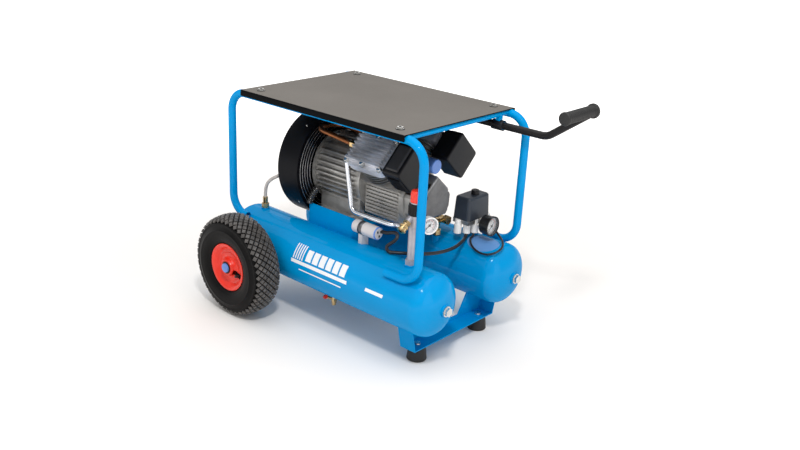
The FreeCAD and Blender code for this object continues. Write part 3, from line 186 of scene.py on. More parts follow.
# colour, rough, metal, vary, patch, grain, depth, strength, and coat and specular where they differ
FINISHES = {
    "tank_paint": ((0.0, 0.278, 0.620), 0.34, 0, 0.05, 7, 260, 0.00010, 0.08, 0.30, 0.0),
    "bracket_paint": ((0.0, 0.275, 0.63), 0.36, 0, 0.06, 11, 300, 0.00010, 0.08, 0.18, 0.0),
    "handle_black": ((0.010, 0.009, 0.009), 0.42, 0, 0.2, 14, 900, 0.0001, 0.25, 0.0, 0.25),
    "zinc": ((0.68, 0.68, 0.66), 0.24, 1.0, 0.12, 60, 900, 0.00008, 0.2),
    "dark_steel": ((0.16, 0.16, 0.165), 0.42, 1.0, 0.2, 40, 700, 0.0001, 0.3),
    "tyre_rubber": ((0.0040, 0.0037, 0.0038), 0.42, 0, 0.3, 30, 500, 0.0002, 0.35, 0.0, 0.10),
    "soft_rubber": ((0.010, 0.010, 0.010), 0.55, 0, 0.25, 30, 700, 0.0002, 0.4),
    "rim_red": ((0.80, 0.030, 0.012), 0.33, 0, 0.10, 24, 240, 0.0002, 0.25, 0.15, 0.4),
    "cap_blue": ((0.105, 0.235, 0.62), 0.34, 0, 0.1, 60, 600, 0.0001, 0.2, 0.2),
    "pipe_aluminium": ((0.66, 0.68, 0.72), 0.27, 1.0, 0.12, 30, 500, 0.0001, 0.2),
    "black_plastic": ((0.0075, 0.0075, 0.009), 0.36, 0, 0.2, 24, 800, 0.00015, 0.35, 0.0, 0.22),
    "slate_plastic": ((0.022, 0.029, 0.041), 0.38, 0, 0.12, 24, 900, 0.00015, 0.35, 0.0, 0.35),
    "white_plastic": ((0.86, 0.84, 0.81), 0.38, 0, 0.05, 40, 600, 0.0001, 0.25),
    "red_plastic": ((0.86, 0.040, 0.018), 0.32, 0, 0.1, 60, 500, 0.0001, 0.25, 0.15),
    "copper_pipe": ((0.44, 0.15, 0.055), 0.32, 1.0, 0.25, 34, 500, 0.0001, 0.25),
    "brass": ((0.58, 0.42, 0.21), 0.25, 1.0, 0.22, 90, 700, 0.0001, 0.25),
    "chrome_body": ((0.70, 0.70, 0.70), 0.16, 1.0, 0.1, 50, 400, 0.00005, 0.1),
    "black_case": ((0.009, 0.009, 0.010), 0.28, 0, 0.2, 40, 700, 0.0001, 0.2),
    "needle_black": ((0.012, 0.012, 0.012), 0.45, 0, 0.2, 90, 900, 0.00005, 0.2),
    "can_grey": ((0.60, 0.57, 0.57), 0.36, 0.0, 0.07, 30, 500, 0.0001, 0.2, 0.2),
    "hose_clear": ((0.52, 0.48, 0.45), 0.28, 0.0, 0.14, 60, 300, 0.0001, 0.2, 0.3),
    "cowl_black": ((0.0025, 0.0028, 0.0045), 0.38, 0, 0.2, 12, 700, 0.00012, 0.3, 0.0, 0.09),
    "pipe_bright": ((0.72, 0.74, 0.78), 0.2, 1.0, 0.1, 40, 500, 0.00005, 0.2),
    "copper_dark": ((0.25, 0.092, 0.036), 0.3, 0.85, 0.3, 40, 500, 0.0001, 0.3),
    "guard_wire": ((0.30, 0.30, 0.31), 0.22, 0.9, 0.2, 50, 600, 0.0001, 0.2),
    "riser_satin": ((0.44, 0.42, 0.45), 0.36, 0.55, 0.12, 40, 500, 0.0001, 0.25),
    "bezel_silver": ((0.80, 0.80, 0.80), 0.26, 0.35, 0.06, 50, 500, 0.00005, 0.1, 0.3),
    "panel_black": ((0.034, 0.034, 0.037), 0.5, 0, 0.15, 30, 900, 0.0002, 0.4, 0.0, 0.3),
    "label_blue": ((0.13, 0.30, 0.62), 0.4, 0, 0.06, 40, 400, 0.00005, 0.1, 0.2, 0.1),
    "head_bright": ((0.62, 0.63, 0.67), 0.38, 0.55, 0.35, 22, 120, 0.00006, 0.12),
    "conduit_gloss": ((0.012, 0.012, 0.013), 0.16, 0, 0.2, 40, 500, 0.00005, 0.1, 0.9),
    "dial_white": ((0.86, 0.86, 0.86), 0.5, 0, 0.03, 40, 600, 0.00005, 0.1),
    "ink_black": ((0.015, 0.015, 0.018), 0.55, 0, 0.1, 60, 600, 0.00005, 0.1),
    "ink_red": ((0.70, 0.03, 0.02), 0.5, 0, 0.1, 60, 600, 0.00005, 0.1),
    "stripe_white": ((0.84, 0.86, 0.88), 0.30, 0, 0.03, 30, 500, 0.00005, 0.1, 0.2),
    "cable_black": ((0.011, 0.011, 0.014), 0.38, 0, 0.2, 60, 900, 0.0001, 0.3),
    # tread blocks: the same black rubber as the casing, painted a lighter brownish grey as a
    # painted reflection of the light on their faces
    "tread_rubber_painted_reflection": ((0.078, 0.072, 0.068), 0.42, 0, 0.45, 60, 700, 0.00025, 0.45, 0.0, 0.5),
}
# colour, rough, metal, and grit and depth where they differ
CASTS = {
    "cast_aluminium": ((0.52, 0.51, 0.49), 0.40, 0.72),
    "iron": ((0.42, 0.41, 0.39), 0.42, 0.9),
    "cover_cast": ((0.175, 0.175, 0.178), 0.42, 0.6, 260.0, 0.0005),
}
M = {name: finish_of(name, *row) for name, row in FINISHES.items()}
M.update({name: cast_metal(name, *row) for name, row in CASTS.items()})
# black coat with a painted reflection of the light above on the plate's upward faces
M["plate_face"] = plate_finish()
M["lens_clear"] = glass_lens()

OWN_FINISH =  {"fan_cowl": "cowl_black", "cylinder_heads": "head_bright",
              "regulator_body": "riser_satin", "regulator_gauge": "bezel_silver",
              "crankcase_cover": "cover_cast", "pressure_switch_base": "iron"}
slots = {part["node"]: part["material_slot"] for part in frame["record"]["subparts"]}
for name, node in frame["nodes"].items():
    look = M[OWN_FINISH.get(name, slots[name])]
    if not node.data.materials:
        node.data.materials.append(look)
    for place in node.material_slots:
        place.material = look


# ---- shape tools ----

def add_object(name, mesh, body, look):
    obj = bpy.data.objects.new(name, mesh)
    bpy.context.scene.collection.objects.link(obj)
    obj.data.materials.append(M[look])
    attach(obj, body)
    return obj


def mesh_from(bm, name, smooth=True):
    bmesh.ops.recalc_face_normals(bm, faces=bm.faces[:])
    for face in bm.faces:
        face.smooth = smooth
    mesh = bpy.data.meshes.new(name)
    bm.to_mesh(mesh)
    bm.free()
    return mesh


def add_mesh(name, bm, body, look, smooth=True):
    return add_object(name, mesh_from(bm, name, smooth), body, look)


def join_rings(bm, rings):
    """Faces between each ring of points and the next."""
    for low, high in zip(rings, rings[1:]):
        for k in range(len(low)):
            after = (k + 1) % len(low)
            bm.faces.new((low[k], low[after], high[after], high[k]))


def axes_of(direction):
    """Turns local +Z to the direction, with local +Y as near to up as it goes."""
    z = Vector(direction).normalized()
    x = UP.cross(z)
    if x.length < 1e-6:
        x = FORWARD.copy()
    x.normalize()
    y = z.cross(x)
    return Matrix((x, y, z)).transposed()


def lathe(bm, profile, centre, direction, steps, skip=None, closed=False):
    """Turns (along, radius) points round an axis; skip(i, a) leaves a face out."""
    turn = axes_of(direction)
    centre = Vector(centre)
    loops = []
    for along, radius in profile:
        loop = []
        for number in range(steps):
            angle = 2 * math.pi * number / steps
            spot = Vector((radius * math.cos(angle), radius * math.sin(angle), along))
            loop.append(bm.verts.new(centre + turn @ spot))
        loops.append(loop)
    pairs = list(zip(loops, loops[1:]))
    if closed:
        pairs.append((loops[-1], loops[0]))
    for row, (low, high) in enumerate(pairs):
        for number in range(steps):
            after = (number + 1) % steps
            if skip and skip(row, 2 * math.pi * (number + 0.5) / steps):
                continue
            bm.faces.new((low[number], low[after], high[after], high[number]))


def turned_piece(name, profile, centre, direction, body, look, steps, closed=False):
    bm = bmesh.new()
    lathe(bm, profile, centre, direction, steps, closed=closed)
    return add_mesh(name, bm, body, look)


def add_block(bm, centre, size, turn, chamfer=0.0):
    """Box with chamfered top edges, its own +Z pointing away from the surface it sits on."""
    centre = Vector(centre)
    hx, hy, hz = size[0] / 2, size[1] / 2, size[2] / 2
    levels = [(-hz, 0.0), (hz - chamfer, 0.0), (hz, chamfer)]
    rings = []
    for z, pull in levels:
        ring = []
        for sx, sy in ((-1, -1), (1, -1), (1, 1), (-1, 1)):
            corner = Vector((sx * (hx - pull), sy * (hy - pull), z))
            ring.append(bm.verts.new(centre + turn @ corner))
        rings.append(ring)
    join_rings(bm, rings)
    bm.faces.new(rings[0][::-1])
    bm.faces.new(rings[-1])


def add_bolt(bm, place, direction, radius, height, washer):
    """Hexagon head with a chamfered crown on a round washer."""
    turn = axes_of(direction)
    place = Vector(place)
    thick = 0.0011

    def ring(count, r, z):
        angles = [2 * math.pi * k / count for k in range(count)]
        return [bm.verts.new(place + turn @ Vector((r * math.cos(a), r * math.sin(a), z)))
                for a in angles]
    join_rings(bm, [ring(20, washer, 0.0), ring(20, washer, thick),
                    ring(20, radius * 0.8, thick + 0.0001)])
    rings = [ring(6, radius, thick), ring(6, radius, thick + height * 0.82),
             ring(6, radius * 0.84, thick + height)]
    join_rings(bm, rings)
    bm.faces.new(rings[-1])


def swept_rings(bm, points, radii, steps):
    """Tube along points with its own radius at each of them."""
    points = [Vector(p) for p in points]
    loops = []
    side = None
    for number, spot in enumerate(points):
        ahead = points[min(number + 1, len(points) - 1)] - points[max(number - 1, 0)]
        ahead.normalize()
        side = (side - ahead * side.dot(ahead)) if side else ahead.orthogonal()
        side.normalize()
        other = ahead.cross(side)
        loop = []
        for k in range(steps):
            a = 2 * math.pi * k / steps
            away = side * math.cos(a) + other * math.sin(a)
            loop.append(bm.verts.new(spot + away * radii[number]))
        loops.append(loop)
    join_rings(bm, loops)
    bm.faces.new(loops[0])
    bm.faces.new(loops[-1])


def mm(x, y, z):
    """A point of the CAD's axle frame, given in millimetres, in the row frame in metres."""
    return Vector((x / 1000 + SHIFT, y / 1000, z / 1000))


# ---- camera ----

def make_camera():
    azimuth, elevation, roll = math.radians(41.16), math.radians(20.85), math.radians(2.76)
    level = math.cos(elevation)
    back = Vector((math.sin(azimuth) * level, -math.cos(azimuth) * level, math.sin(elevation)))
    forward = -back
    right = forward.cross(Vector((0, 0, 1))).normalized()
    up = right.cross(forward)
    turned_right = right * math.cos(roll) + up * math.sin(roll)
    turned_up = up * math.cos(roll) - right * math.sin(roll)
    data = bpy.data.cameras.new("view")
    data.sensor_width = 36.0
    data.lens = 41.37
    data.shift_x = 0.0083
    data.clip_start = 0.05
    data.clip_end = 60.0
    cam = bpy.data.objects.new("view", data)
    bpy.context.scene.collection.objects.link(cam)
    turn = Matrix((turned_right, turned_up, back)).transposed().to_4x4()
    cam.matrix_world = Matrix.Translation((1.37935, -1.60297, 1.0614)) @ turn
    bpy.context.scene.camera = cam


make_camera()


# ---- cords ----

MOTOR_CABLE = [(340.5, -104, 276), (354, -104, 276.5), (367, -101.5, 281), (380, -99, 284),
               (389.5, -102, 280), (390, -109, 271.5), (382.5, -116, 263), (374.4, -122, 255.5),
               (374.6, -122.6, 246.5), (380, -119.5, 240.3), (390, -113, 240.8), (405, -102, 241),
               (424, -82, 240), (442, -50, 236), (453, -8, 233), (454, 36, 233), (447, 66, 235),
               (440, 88, 236), (435.5, 101, 242), (435.5, 101, 256)]
SWITCH_LEAD = [(446, 119.5, 256), (447, 117, 242), (448, 100, 238), (464, 84, 230), (490, 74, 222),
               (520, 76, 222), (540, 90, 232), (540, 110, 240), (524, 132, 244), (500, 150, 246),
               (478, 156, 258), (458, 150, 268), (447, 146, 270)]
BALANCE_HOSE =  [(-44, -132.5, 268), (-44, -132.5, 296), (-33, -126, 316), (-14, -100, 330),
                (-8, -60, 336), (-8, -15, 337), (-8, 30, 336), (-10, 70, 333), (-20, 104, 324),
                (-36, 127, 308), (-44, 132.5, 288), (-44, 132.5, 268)]


def cord(node, route, radius, look):
    """Round cable along a millimetre route, in place of its CAD node."""
    name = node + "_run"
    data = bpy.data.curves.new(name, "CURVE")
    data.dimensions = "3D"
    line = data.splines.new("NURBS")
    line.points.add(len(route) - 1)
    for point, spot in zip(line.points, route):
        point.co = (*mm(*spot), 1.0)
    line.order_u = 3
    line.use_endpoint_u = True
    line.resolution_u = 10
    data.bevel_depth = radius / 1000
    data.bevel_resolution = 6
    data.use_fill_caps = True
    obj = add_object(name, data, "frame", look)
    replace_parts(obj, node)


cord("motor_cable", MOTOR_CABLE, 4.2, "cable_black")
cord("switch_lead", SWITCH_LEAD, 2.6, "cable_black")
cord("balance_hose", BALANCE_HOSE, 4.5, "hose_clear")


# ---- wheels ----

CROWN_ARC = 0.0773       # radius of the tread's crown across the tyre
SHOULDER_ARC = 0.020
CROWN_END = math.asin(0.023 / CROWN_ARC)
SHOULDER_END = math.radians(70)
TREAD_HALF = CROWN_ARC * CROWN_END + SHOULDER_ARC * (SHOULDER_END - CROWN_END)


def tread_point(s, lift=0.0):
    """(y, radius, tilt) of the tread's surface at a distance s across it from the middle line."""
    side = -1 if s < 0 else 1
    s = abs(s)
    if s < CROWN_ARC * CROWN_END:
        tilt = s / CROWN_ARC
        y, r = CROWN_ARC * math.sin(tilt), WHEEL_R - CROWN_ARC * (1 - math.cos(tilt))
    else:
        tilt = CROWN_END + (s - CROWN_ARC * CROWN_END) / SHOULDER_ARC
        y0 = (CROWN_ARC - SHOULDER_ARC) * math.sin(CROWN_END)
        r0 = WHEEL_R - CROWN_ARC + (CROWN_ARC - SHOULDER_ARC) * math.cos(CROWN_END)
        y, r = y0 + SHOULDER_ARC * math.sin(tilt), r0 + SHOULDER_ARC * math.cos(tilt)
    return side * (y + lift * math.sin(tilt)), r + lift * math.cos(tilt), side * tilt


BLOCK_ROUND = 46         # tread blocks round the tyre in each row
BLOCK_ROW = 0.0088       # distance between rows across the tyre
BLOCK_HALF = 0.0066      # half diagonal of a block
BLOCK_DEEP = 0.0036
SHOULDER_PROUD = 0.0018   # how much higher the blocks stand on the shoulders


def tread_blocks(bm, centre_y):
    """Diamond blocks in staggered rows, wrapped round the crown and both shoulders."""
    def spot(s, angle, lift):
        y, r, _ = tread_point(s, lift + SHOULDER_PROUD * min(1.0, abs(s) / 0.032) ** 3)
        ahead, up = r * math.sin(angle), r * math.cos(angle)
        return bm.verts.new((ahead + SHIFT, centre_y + y, WHEEL_R + up))
    pitch = 2 * math.pi / BLOCK_ROUND
    for row in range(-4, 5):
        for number in range(BLOCK_ROUND):
            mid_s = row * BLOCK_ROW
            mid_a = (number + (0.5 if row % 2 else 0.0)) * pitch
            reach_s = BLOCK_HALF * random.uniform(0.95, 1.03)
            reach_a = BLOCK_HALF / WHEEL_R * random.uniform(0.98, 1.06)
            levels = []
            for lift, size in ((-BLOCK_DEEP - 0.0006, 1.12), (-0.0010, 1.0), (-0.0001, 0.84)):
                corners = ((1, 0), (0, 1), (-1, 0), (0, -1))
                levels.append([spot(mid_s + ds * reach_s * size, mid_a + da * reach_a * size, lift)
                               for ds, da in corners])
            join_rings(bm, levels)
            bm.faces.new(levels[-1])


SIDEWALL =  [(36.2, 114.6), (37.6, 112.0), (38.0, 110.4), (37.6, 109.4), (39.3, 104.5),
            (40.9, 98.5), (41.5, 97.0), (42.2, 96.2), (42.4, 94.4), (42.1, 93.2), (42.2, 88.0),
            (41.4, 81.0), (39.9, 75.0), (38.2, 70.5), (37.4, 69.2), (37.2, 68.0), (36.0, 65.6),
            (34.6, 63.6), (33.2, 62.4), (31.0, 61.6)]


def tyre_shell(bm, centre_y):
    """Smooth casing under the blocks, with the ridges of both sidewalls."""
    profile = [(-y / 1000, r / 1000) for y, r in reversed(SIDEWALL)]
    count = 26
    for k in range(count + 1):
        s = -TREAD_HALF + 2 * TREAD_HALF * k / count
        y, r, _ = tread_point(s, -BLOCK_DEEP)
        profile.append((y, r))
    profile += [(y / 1000, r / 1000) for y, r in SIDEWALL]
    lathe(bm, profile, (SHIFT, centre_y, WHEEL_R), (0, 1, 0), 96)


NOTCH = -math.radians(28)     # the valve's place round the wheel, counted from forward towards up
# rim outline: outer lip, disc and hub, then through the bore and back along the barrel
RIM_OUTLINE =  [(33.2, 61.4), (34.7, 60.9), (35.3, 59.4), (35.0, 57.4), (33.4, 53.6), (30.2, 49.6),
               (26.8, 46.6), (24.4, 45.0), (23.2, 43.6), (22.8, 42.0), (22.7, 37.4), (23.1, 36.6),
               (23.9, 36.0), (24.1, 35.0), (23.6, 34.0), (23.4, 32.6), (23.6, 28.0), (24.6, 25.6),
               (27.4, 23.2), (31.6, 21.2), (35.4, 20.2), (36.6, 18.9), (36.7, 15.3), (-36.0, 15.3),
               (-36.0, 18.5), (16.5, 18.5), (16.5, 20.0), (19.5, 31.0), (19.5, 45.2), (-34.0, 46.5),
               (-37.5, 47.0), (-37.5, 60.8), (-36.6, 61.4), (-34.6, 61.0), (-34.5, 51.0),
               (24.0, 51.0), (31.6, 52.6), (32.2, 60.6)]
NOTCH_ROWS = (*range(8, 19), 26, 27)     # rows of the outline that the notch cuts through
NOTCH_HALF = 0.0078


def rim(name, side, body):
    """Moulded rim: rounded lip, cone, stepped disc and hub, cut through where the valve lies."""
    bm = bmesh.new()

    def skip(row, angle):
        # the lathe's own angle runs from local X towards local Y; it is turned back to x and z here
        turn = axes_of((0, side, 0))
        away = turn @ Vector((math.cos(angle), math.sin(angle), 0))
        round_wheel = math.atan2(away.z, away.x)
        off = abs((round_wheel - NOTCH + math.pi) % (2 * math.pi) - math.pi)
        reach = RIM_OUTLINE[row][1] / 1000
        return row in NOTCH_ROWS and off * reach < NOTCH_HALF
    profile = [(y / 1000, r / 1000) for y, r in RIM_OUTLINE]
    lathe(bm, profile, (SHIFT, side * WHEEL_Y, WHEEL_R), (0, side, 0), 144, skip, True)
    return add_mesh(name, bm, body, "rim_red")


def valve_stem(name, side, body):
    """Rubber valve stem with its cap, lying in the rim's notch."""
    out = Vector((math.cos(NOTCH), 0, math.sin(NOTCH)))
    centre = Vector((SHIFT, side * (WHEEL_Y + 0.0195), WHEEL_R))
    lean = Vector((0, side, 0)) * 0.006
    bm = bmesh.new()
    points = [centre + out * 0.0440, centre + out * 0.0385, centre + out * 0.0382 + lean * 0.05,
              centre + out * 0.0330 + lean * 0.6, centre + out * 0.0328 + lean * 0.6,
              centre + out * 0.0262 + lean]
    swept_rings(bm, points, [0.0040, 0.0036, 0.0027, 0.0027, 0.0036, 0.0031], 18)
    return add_mesh(name, bm, body, "tyre_rubber")


def wheel(side, word):
    body = word + "_wheel"
    bm = bmesh.new()
    tyre_shell(bm, side * WHEEL_Y)
    casing = add_mesh(word + "_tyre_casing", bm, body, "tyre_rubber")
    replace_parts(casing, word + "_tyre")
    bm = bmesh.new()
    tread_blocks(bm, side * WHEEL_Y)
    # the blocks take the rubber with the painted reflection; the gaps between them show the dark
    # casing
    add_mesh(word + "_tyre_tread", bm, body, "tread_rubber_painted_reflection", False)
    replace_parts(rim(word + "_rim_moulding", side, body), word + "_rim")
    valve_stem(word + "_valve_stem", side, body)
    cap =  [(-0.0002, 0.0118), (0.0032, 0.0118), (0.0044, 0.0112), (0.0053, 0.0098),
           (0.0057, 0.0080), (0.0059, 0.0040), (0.0060, 0.0)]
    start = WHEEL_Y + 0.0363
    turned_piece(word + "_cap_crown", cap, (SHIFT, side * start, WHEEL_R), (0, side, 0), "frame",
                 "cap_blue", 48)
    collar =  [(-0.0001, 0.0119), (-0.0001, 0.0146), (0.0012, 0.0150), (0.0016, 0.0142),
              (0.0016, 0.0119)]
    turned_piece(word + "_cap_collar", collar, (SHIFT, side * start, WHEEL_R), (0, side, 0),
                 "frame", "black_plastic", 48)


wheel(1, "left")
wheel(-1, "right")


# ---- handle ----

GRIP_X, GRIP_Z = 726.5, 608.0
GRIP_NEAR = 10.0


def ribbed_grip():
    """Moulded grip: rounded nose, rings along the hand, and a wide thumb flange."""
    profile =  [(0.0, 0.0), (0.0002, 9.0), (0.6, 12.6), (1.8, 14.2), (3.6, 14.8), (5.4, 14.6),
               (6.4, 13.4)]
    ribs = 24
    first, last = 8.0, 111.0
    pitch = (last - first) / ribs
    for number in range(ribs):
        start = first + pitch * number
        profile += [(start, 12.6), (start + 0.18 * pitch, 13.5), (start + 0.62 * pitch, 13.5),
                    (start + 0.80 * pitch, 12.6)]
    profile +=  [(last + 0.6, 12.6), (112.0, 14.4), (112.8, 16.0), (114.0, 16.5), (117.4, 16.5),
                (118.0, 15.6), (118.0, 9.2)]
    scaled = [(y / 1000, r / 1000) for y, r in profile]
    grip = turned_piece("grip_ribbed", scaled, mm(GRIP_X, GRIP_NEAR, GRIP_Z), (0, 1, 0), "handle",
                        "soft_rubber", 56)
    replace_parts(grip, "handle_grip")


ribbed_grip()


# ---- conduit ----

def ribbed_conduit():
    """Corrugated sleeve for the motor's leads."""
    start, knee, end = mm(104, -87, 321), mm(92, -100, 300), mm(92, -104, 281)
    points, radii = [], []
    count = 60
    for number in range(count + 1):
        t = number / count
        points.append(start * (1 - t) ** 2 + knee * 2 * t * (1 - t) + end * t * t)
        radii.append(0.0088 if (number // 4) % 2 else 0.0062)
    bm = bmesh.new()
    swept_rings(bm, points, radii, 24)
    sleeve = add_mesh("conduit_ribbed", bm, "frame", "conduit_gloss")
    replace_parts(sleeve, "conduit")


ribbed_conduit()


# ---- gauges ----

GAUGE_WALL, GAUGE_GAP = 1.5, 1.2


def scale_angle(value, top_value):
    """A gauge's scale runs over 270 degrees, clockwise from the lower left."""
    return math.radians(225 - 270 * value / top_value)


def gauge(name, base, direction, radius, depth, top_value, step):
    """White dial with a generic scale, and a thin domed lens."""
    turn = axes_of(direction)
    centre = mm(*base)
    inner = radius - GAUGE_WALL - GAUGE_GAP
    level = (depth - 7) / 1000

    def at(x, y, z):
        return centre + turn @ Vector((x, y, z))
    rim_r = (inner - 0.2) / 1000
    face = [(level, 0.0), (level + 0.0003, 0.0), (level + 0.0003, rim_r), (level, rim_r)]
    turned_piece(name + "_dial", face, centre, direction, "frame", "dial_white", 64)
    bm = bmesh.new()
    count = 5 * (top_value // step)
    for number in range(count + 1):
        angle = scale_angle(number, count)
        long_tick = number % 5 == 0
        outer = inner * 0.93 / 1000
        inner_end = inner * (0.76 if long_tick else 0.84) / 1000
        mid = (outer + inner_end) / 2
        away = Vector((math.cos(angle), math.sin(angle), 0))
        spin = turn @ Matrix((away, Vector((-away.y, away.x, 0)), Vector((0, 0, 1)))).transposed()
        spot = at(away.x * mid, away.y * mid, level + 0.0004)
        add_block(bm, spot, (outer - inner_end, 0.0006 if long_tick else 0.0003, 0.0003), spin)
    add_mesh(name + "_ticks", bm, "frame", "ink_black", False)
    bm = bmesh.new()
    arc = 40
    last = None
    for number in range(arc + 1):
        angle = scale_angle(number, arc)
        pair = [bm.verts.new(at(math.cos(angle) * r, math.sin(angle) * r, level + 0.00045))
                for r in (inner * 0.70 / 1000, inner * 0.73 / 1000)]
        if last:
            bm.faces.new((last[0], last[1], pair[1], pair[0]))
        last = pair
    add_mesh(name + "_arc", bm, "frame", "ink_red", False)
    bm = bmesh.new()
    for value in range(0, top_value + 1, step):
        angle = scale_angle(value, top_value)
        data = bpy.data.curves.new("figure", "FONT")
        data.body = str(value)
        data.size = inner * 0.25 / 1000
        data.align_x = "CENTER"
        data.align_y = "CENTER"
        data.extrude = 0.00008
        text = bpy.data.objects.new("figure", data)
        bpy.context.scene.collection.objects.link(text)
        bpy.context.view_layer.update()
        flat = bpy.data.meshes.new_from_object(text)
        spot = at(math.cos(angle) * inner * 0.56 / 1000, math.sin(angle) * inner * 0.56 / 1000,
                  level + 0.0004)
        flat.transform(Matrix.Translation(spot) @ turn.to_4x4())
        bm.from_mesh(flat)
        bpy.data.objects.remove(text)
        bpy.data.curves.remove(data)
        bpy.data.meshes.remove(flat)
    add_mesh(name + "_figures", bm, "frame", "ink_black", False)
    front = (depth - 1.4) / 1000
    lens = [(front, inner / 1000), (front + 0.0004, inner * 0.8 / 1000),
            (front + 0.0007, inner * 0.5 / 1000), (front + 0.0009, 0.0002)]
    turned_piece(name + "_lens", lens, centre, direction, "frame", "lens_clear", 48)


gauge("small_gauge", (493.5, -126.5, 346), (0.92, -0.39, 0), 20, 16, 12,
      2)
gauge("large_gauge", (470, 125, 276), (1, 0, 0), 25, 26, 16, 4)


# ---- pump and motor details ----

def to_bank(spot, bank):
    """Millimetre point drawn along +Z from the crank axis, moved to one bank of the V."""
    x, y, z = spot
    cut = math.sqrt(0.5)
    y2, z2 = (y + z) * cut, (z - y) * cut
    x2 = x + (292.0, 308.0)[bank]
    return mm(x2, y2 if bank else -y2, z2 + SHAFT_Z)


def bank_turn(bank):
    cut = math.sqrt(0.5)
    side = 1 if bank else -1
    up = Vector((0, side * cut, cut))
    along = Vector((1, 0, 0))
    return Matrix((along, up.cross(along), up)).transposed()


def head_bolts():
    bm = bmesh.new()
    for bank in (0, 1):
        up = bank_turn(bank) @ Vector((0, 0, 1))
        for x in (-52, 0, 52):
            for y in (-39, 40):
                spot = to_bank((x, y * 0.97, 138 if x else 142), bank)
                add_bolt(bm, spot, up, 0.0062, 0.0058, 0.0074)
    add_mesh("head_bolts", bm, "frame", "zinc", False)


def motor_fins():
    """Upright fins on top of the motor, nearly to the round outline of the cast ones."""
    bm = bmesh.new()
    core, outline, half = 0.0795, 0.0905, 0.0016
    for y in (-0.030, -0.018, -0.006, 0.006, 0.018, 0.030):
        low = math.sqrt(core ** 2 - y ** 2) - 0.002
        high = math.sqrt(outline ** 2 - y ** 2)
        add_block(bm, mm(162, 0, SHAFT_Z) + Vector((0, y, (low + high) / 2)),
                  (0.126, 2 * half, high - low), Matrix.Identity(3), 0.0006)
    add_mesh("motor_top_fins", bm, "frame", "cast_aluminium", False)


def bent_line(corners, bends, steps=10):
    """Millimetre polyline as smooth points, with an arc of its own radius at each inner corner."""
    corners = [mm(*c) for c in corners]
    points = [corners[0]]
    for before, corner, after, bend in zip(corners, corners[1:], corners[2:], bends):
        into, out = (corner - before).normalized(), (after - corner).normalized()
        half = into.angle(out) / 2
        back = bend / 1000 * math.tan(half)
        towards = (out - into).normalized()
        centre = corner + towards * (bend / 1000 / math.cos(half))
        start = (corner - into * back - centre).normalized()
        end = (corner + out * back - centre).normalized()
        for number in range(steps + 1):
            points.append(centre + start.slerp(end, number / steps) * (bend / 1000))
    return points + [corners[-1]]


def metal_pipe(node, name, corners, bends, radius, look):
    points = bent_line(corners, bends)
    bm = bmesh.new()
    swept_rings(bm, points, [radius / 1000] * len(points), 28)
    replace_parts(add_mesh(name, bm, "frame", look), node)


def pump_pipes():
    delivery = [(232, -108, 437), (222, -109, 437), (249, -112, 304), (386, -112, 306),
                (378, -66, 293), (374, 28, 289), (374, 46, 272), (374, 64, 272)]
    metal_pipe("delivery_pipe", "delivery_pipe_bare", delivery, [7, 20, 20, 60, 14, 14], 6.0,
               "pipe_bright")
    cooling = [(231.9, -80, 456), (88, -80, 470), (88, -6, 470), (234, -6, 464), (234, 70, 468),
               (248, 70, 468)]
    metal_pipe("cooling_pipe", "cooling_pipe_dark", cooling, [26, 26, 22, 9], 6.4, "copper_dark")


def filter_louvres():
    """Air slots' hoods along the outer end of each intake filter."""
    bm = bmesh.new()
    for bank in (0, 1):
        low = (64, 76)[bank]
        turn = bank_turn(bank)
        for number in range(9):
            add_block(bm, to_bank((74 + 4.2 * number, 44.2, low + 36), bank),
                      (0.0022, 0.050, 0.0024), turn @ Matrix.Rotation(-math.pi / 2, 3, "X"), 0.0006)
    add_mesh("filter_louvres", bm, "frame", "black_plastic", False)


def cowl_rivets():
    bm = bmesh.new()
    for number in range(4):
        angle = math.radians(38 + 90 * number)
        out = Vector((0, math.cos(angle), math.sin(angle)))
        spot = mm(60, 0, SHAFT_Z) + out * 0.1386
        lathe(bm, [(0.0, 0.0026), (0.0007, 0.0025), (0.0012, 0.0017), (0.0014, 0.0001)], spot, out,
              16)
    add_mesh("cowl_rivets", bm, "frame", "zinc")


def cowl_seam():
    """Rolled bead round the cowl's front edge."""
    profile = []
    for number in range(12):
        angle = 2 * math.pi * number / 12
        profile.append((0.0016 * math.sin(angle), 0.1378 + 0.0012 * math.cos(angle)))
    turned_piece("cowl_rim_bead", profile, mm(81.5, 0, SHAFT_Z), (1, 0, 0), "frame", "cowl_black",
                 120, closed=True)


def fan_guard():
    """Bright wire rings over the slots of the cowl's front ring, and the edge of its mouth."""
    bm = bmesh.new()
    for radius in (0.0960, 0.1050, 0.1130, 0.1210, 0.1290):
        profile = []
        for number in range(8):
            angle = 2 * math.pi * number / 8
            profile.append((0.0010 * math.sin(angle), radius + 0.0010 * math.cos(angle)))
        lathe(bm, profile, mm(83.0, 0, SHAFT_Z), (1, 0, 0), 120, closed=True)
    add_mesh("fan_guard_rings", bm, "frame", "guard_wire")


def regulator_bonnet():
    """Ribbed black bonnet of the regulator under its knob."""
    axis = mm(466, -TANK_Y, 361)
    profile =  [(0.0, 0.0152), (0.0, 0.0172), (0.0008, 0.0178), (0.0250, 0.0172), (0.0268, 0.0166),
               (0.0280, 0.0152)]
    turned_piece("regulator_bonnet", profile, axis, (0, 0, 1), "frame", "black_plastic",
                 48)
    bm = bmesh.new()
    for number in range(18):
        angle = 2 * math.pi * number / 18
        out = Vector((math.cos(angle), math.sin(angle), 0))
        turn = Matrix((Vector((0, 0, 1)).cross(out), Vector((0, 0, 1)), out)).transposed()
        spot = axis + out * 0.0178 + Vector((0, 0, 0.0125))
        add_block(bm, spot, (0.0022, 0.020, 0.0012), turn, 0.0004)
    add_mesh("regulator_bonnet_ribs", bm, "frame", "black_plastic", False)


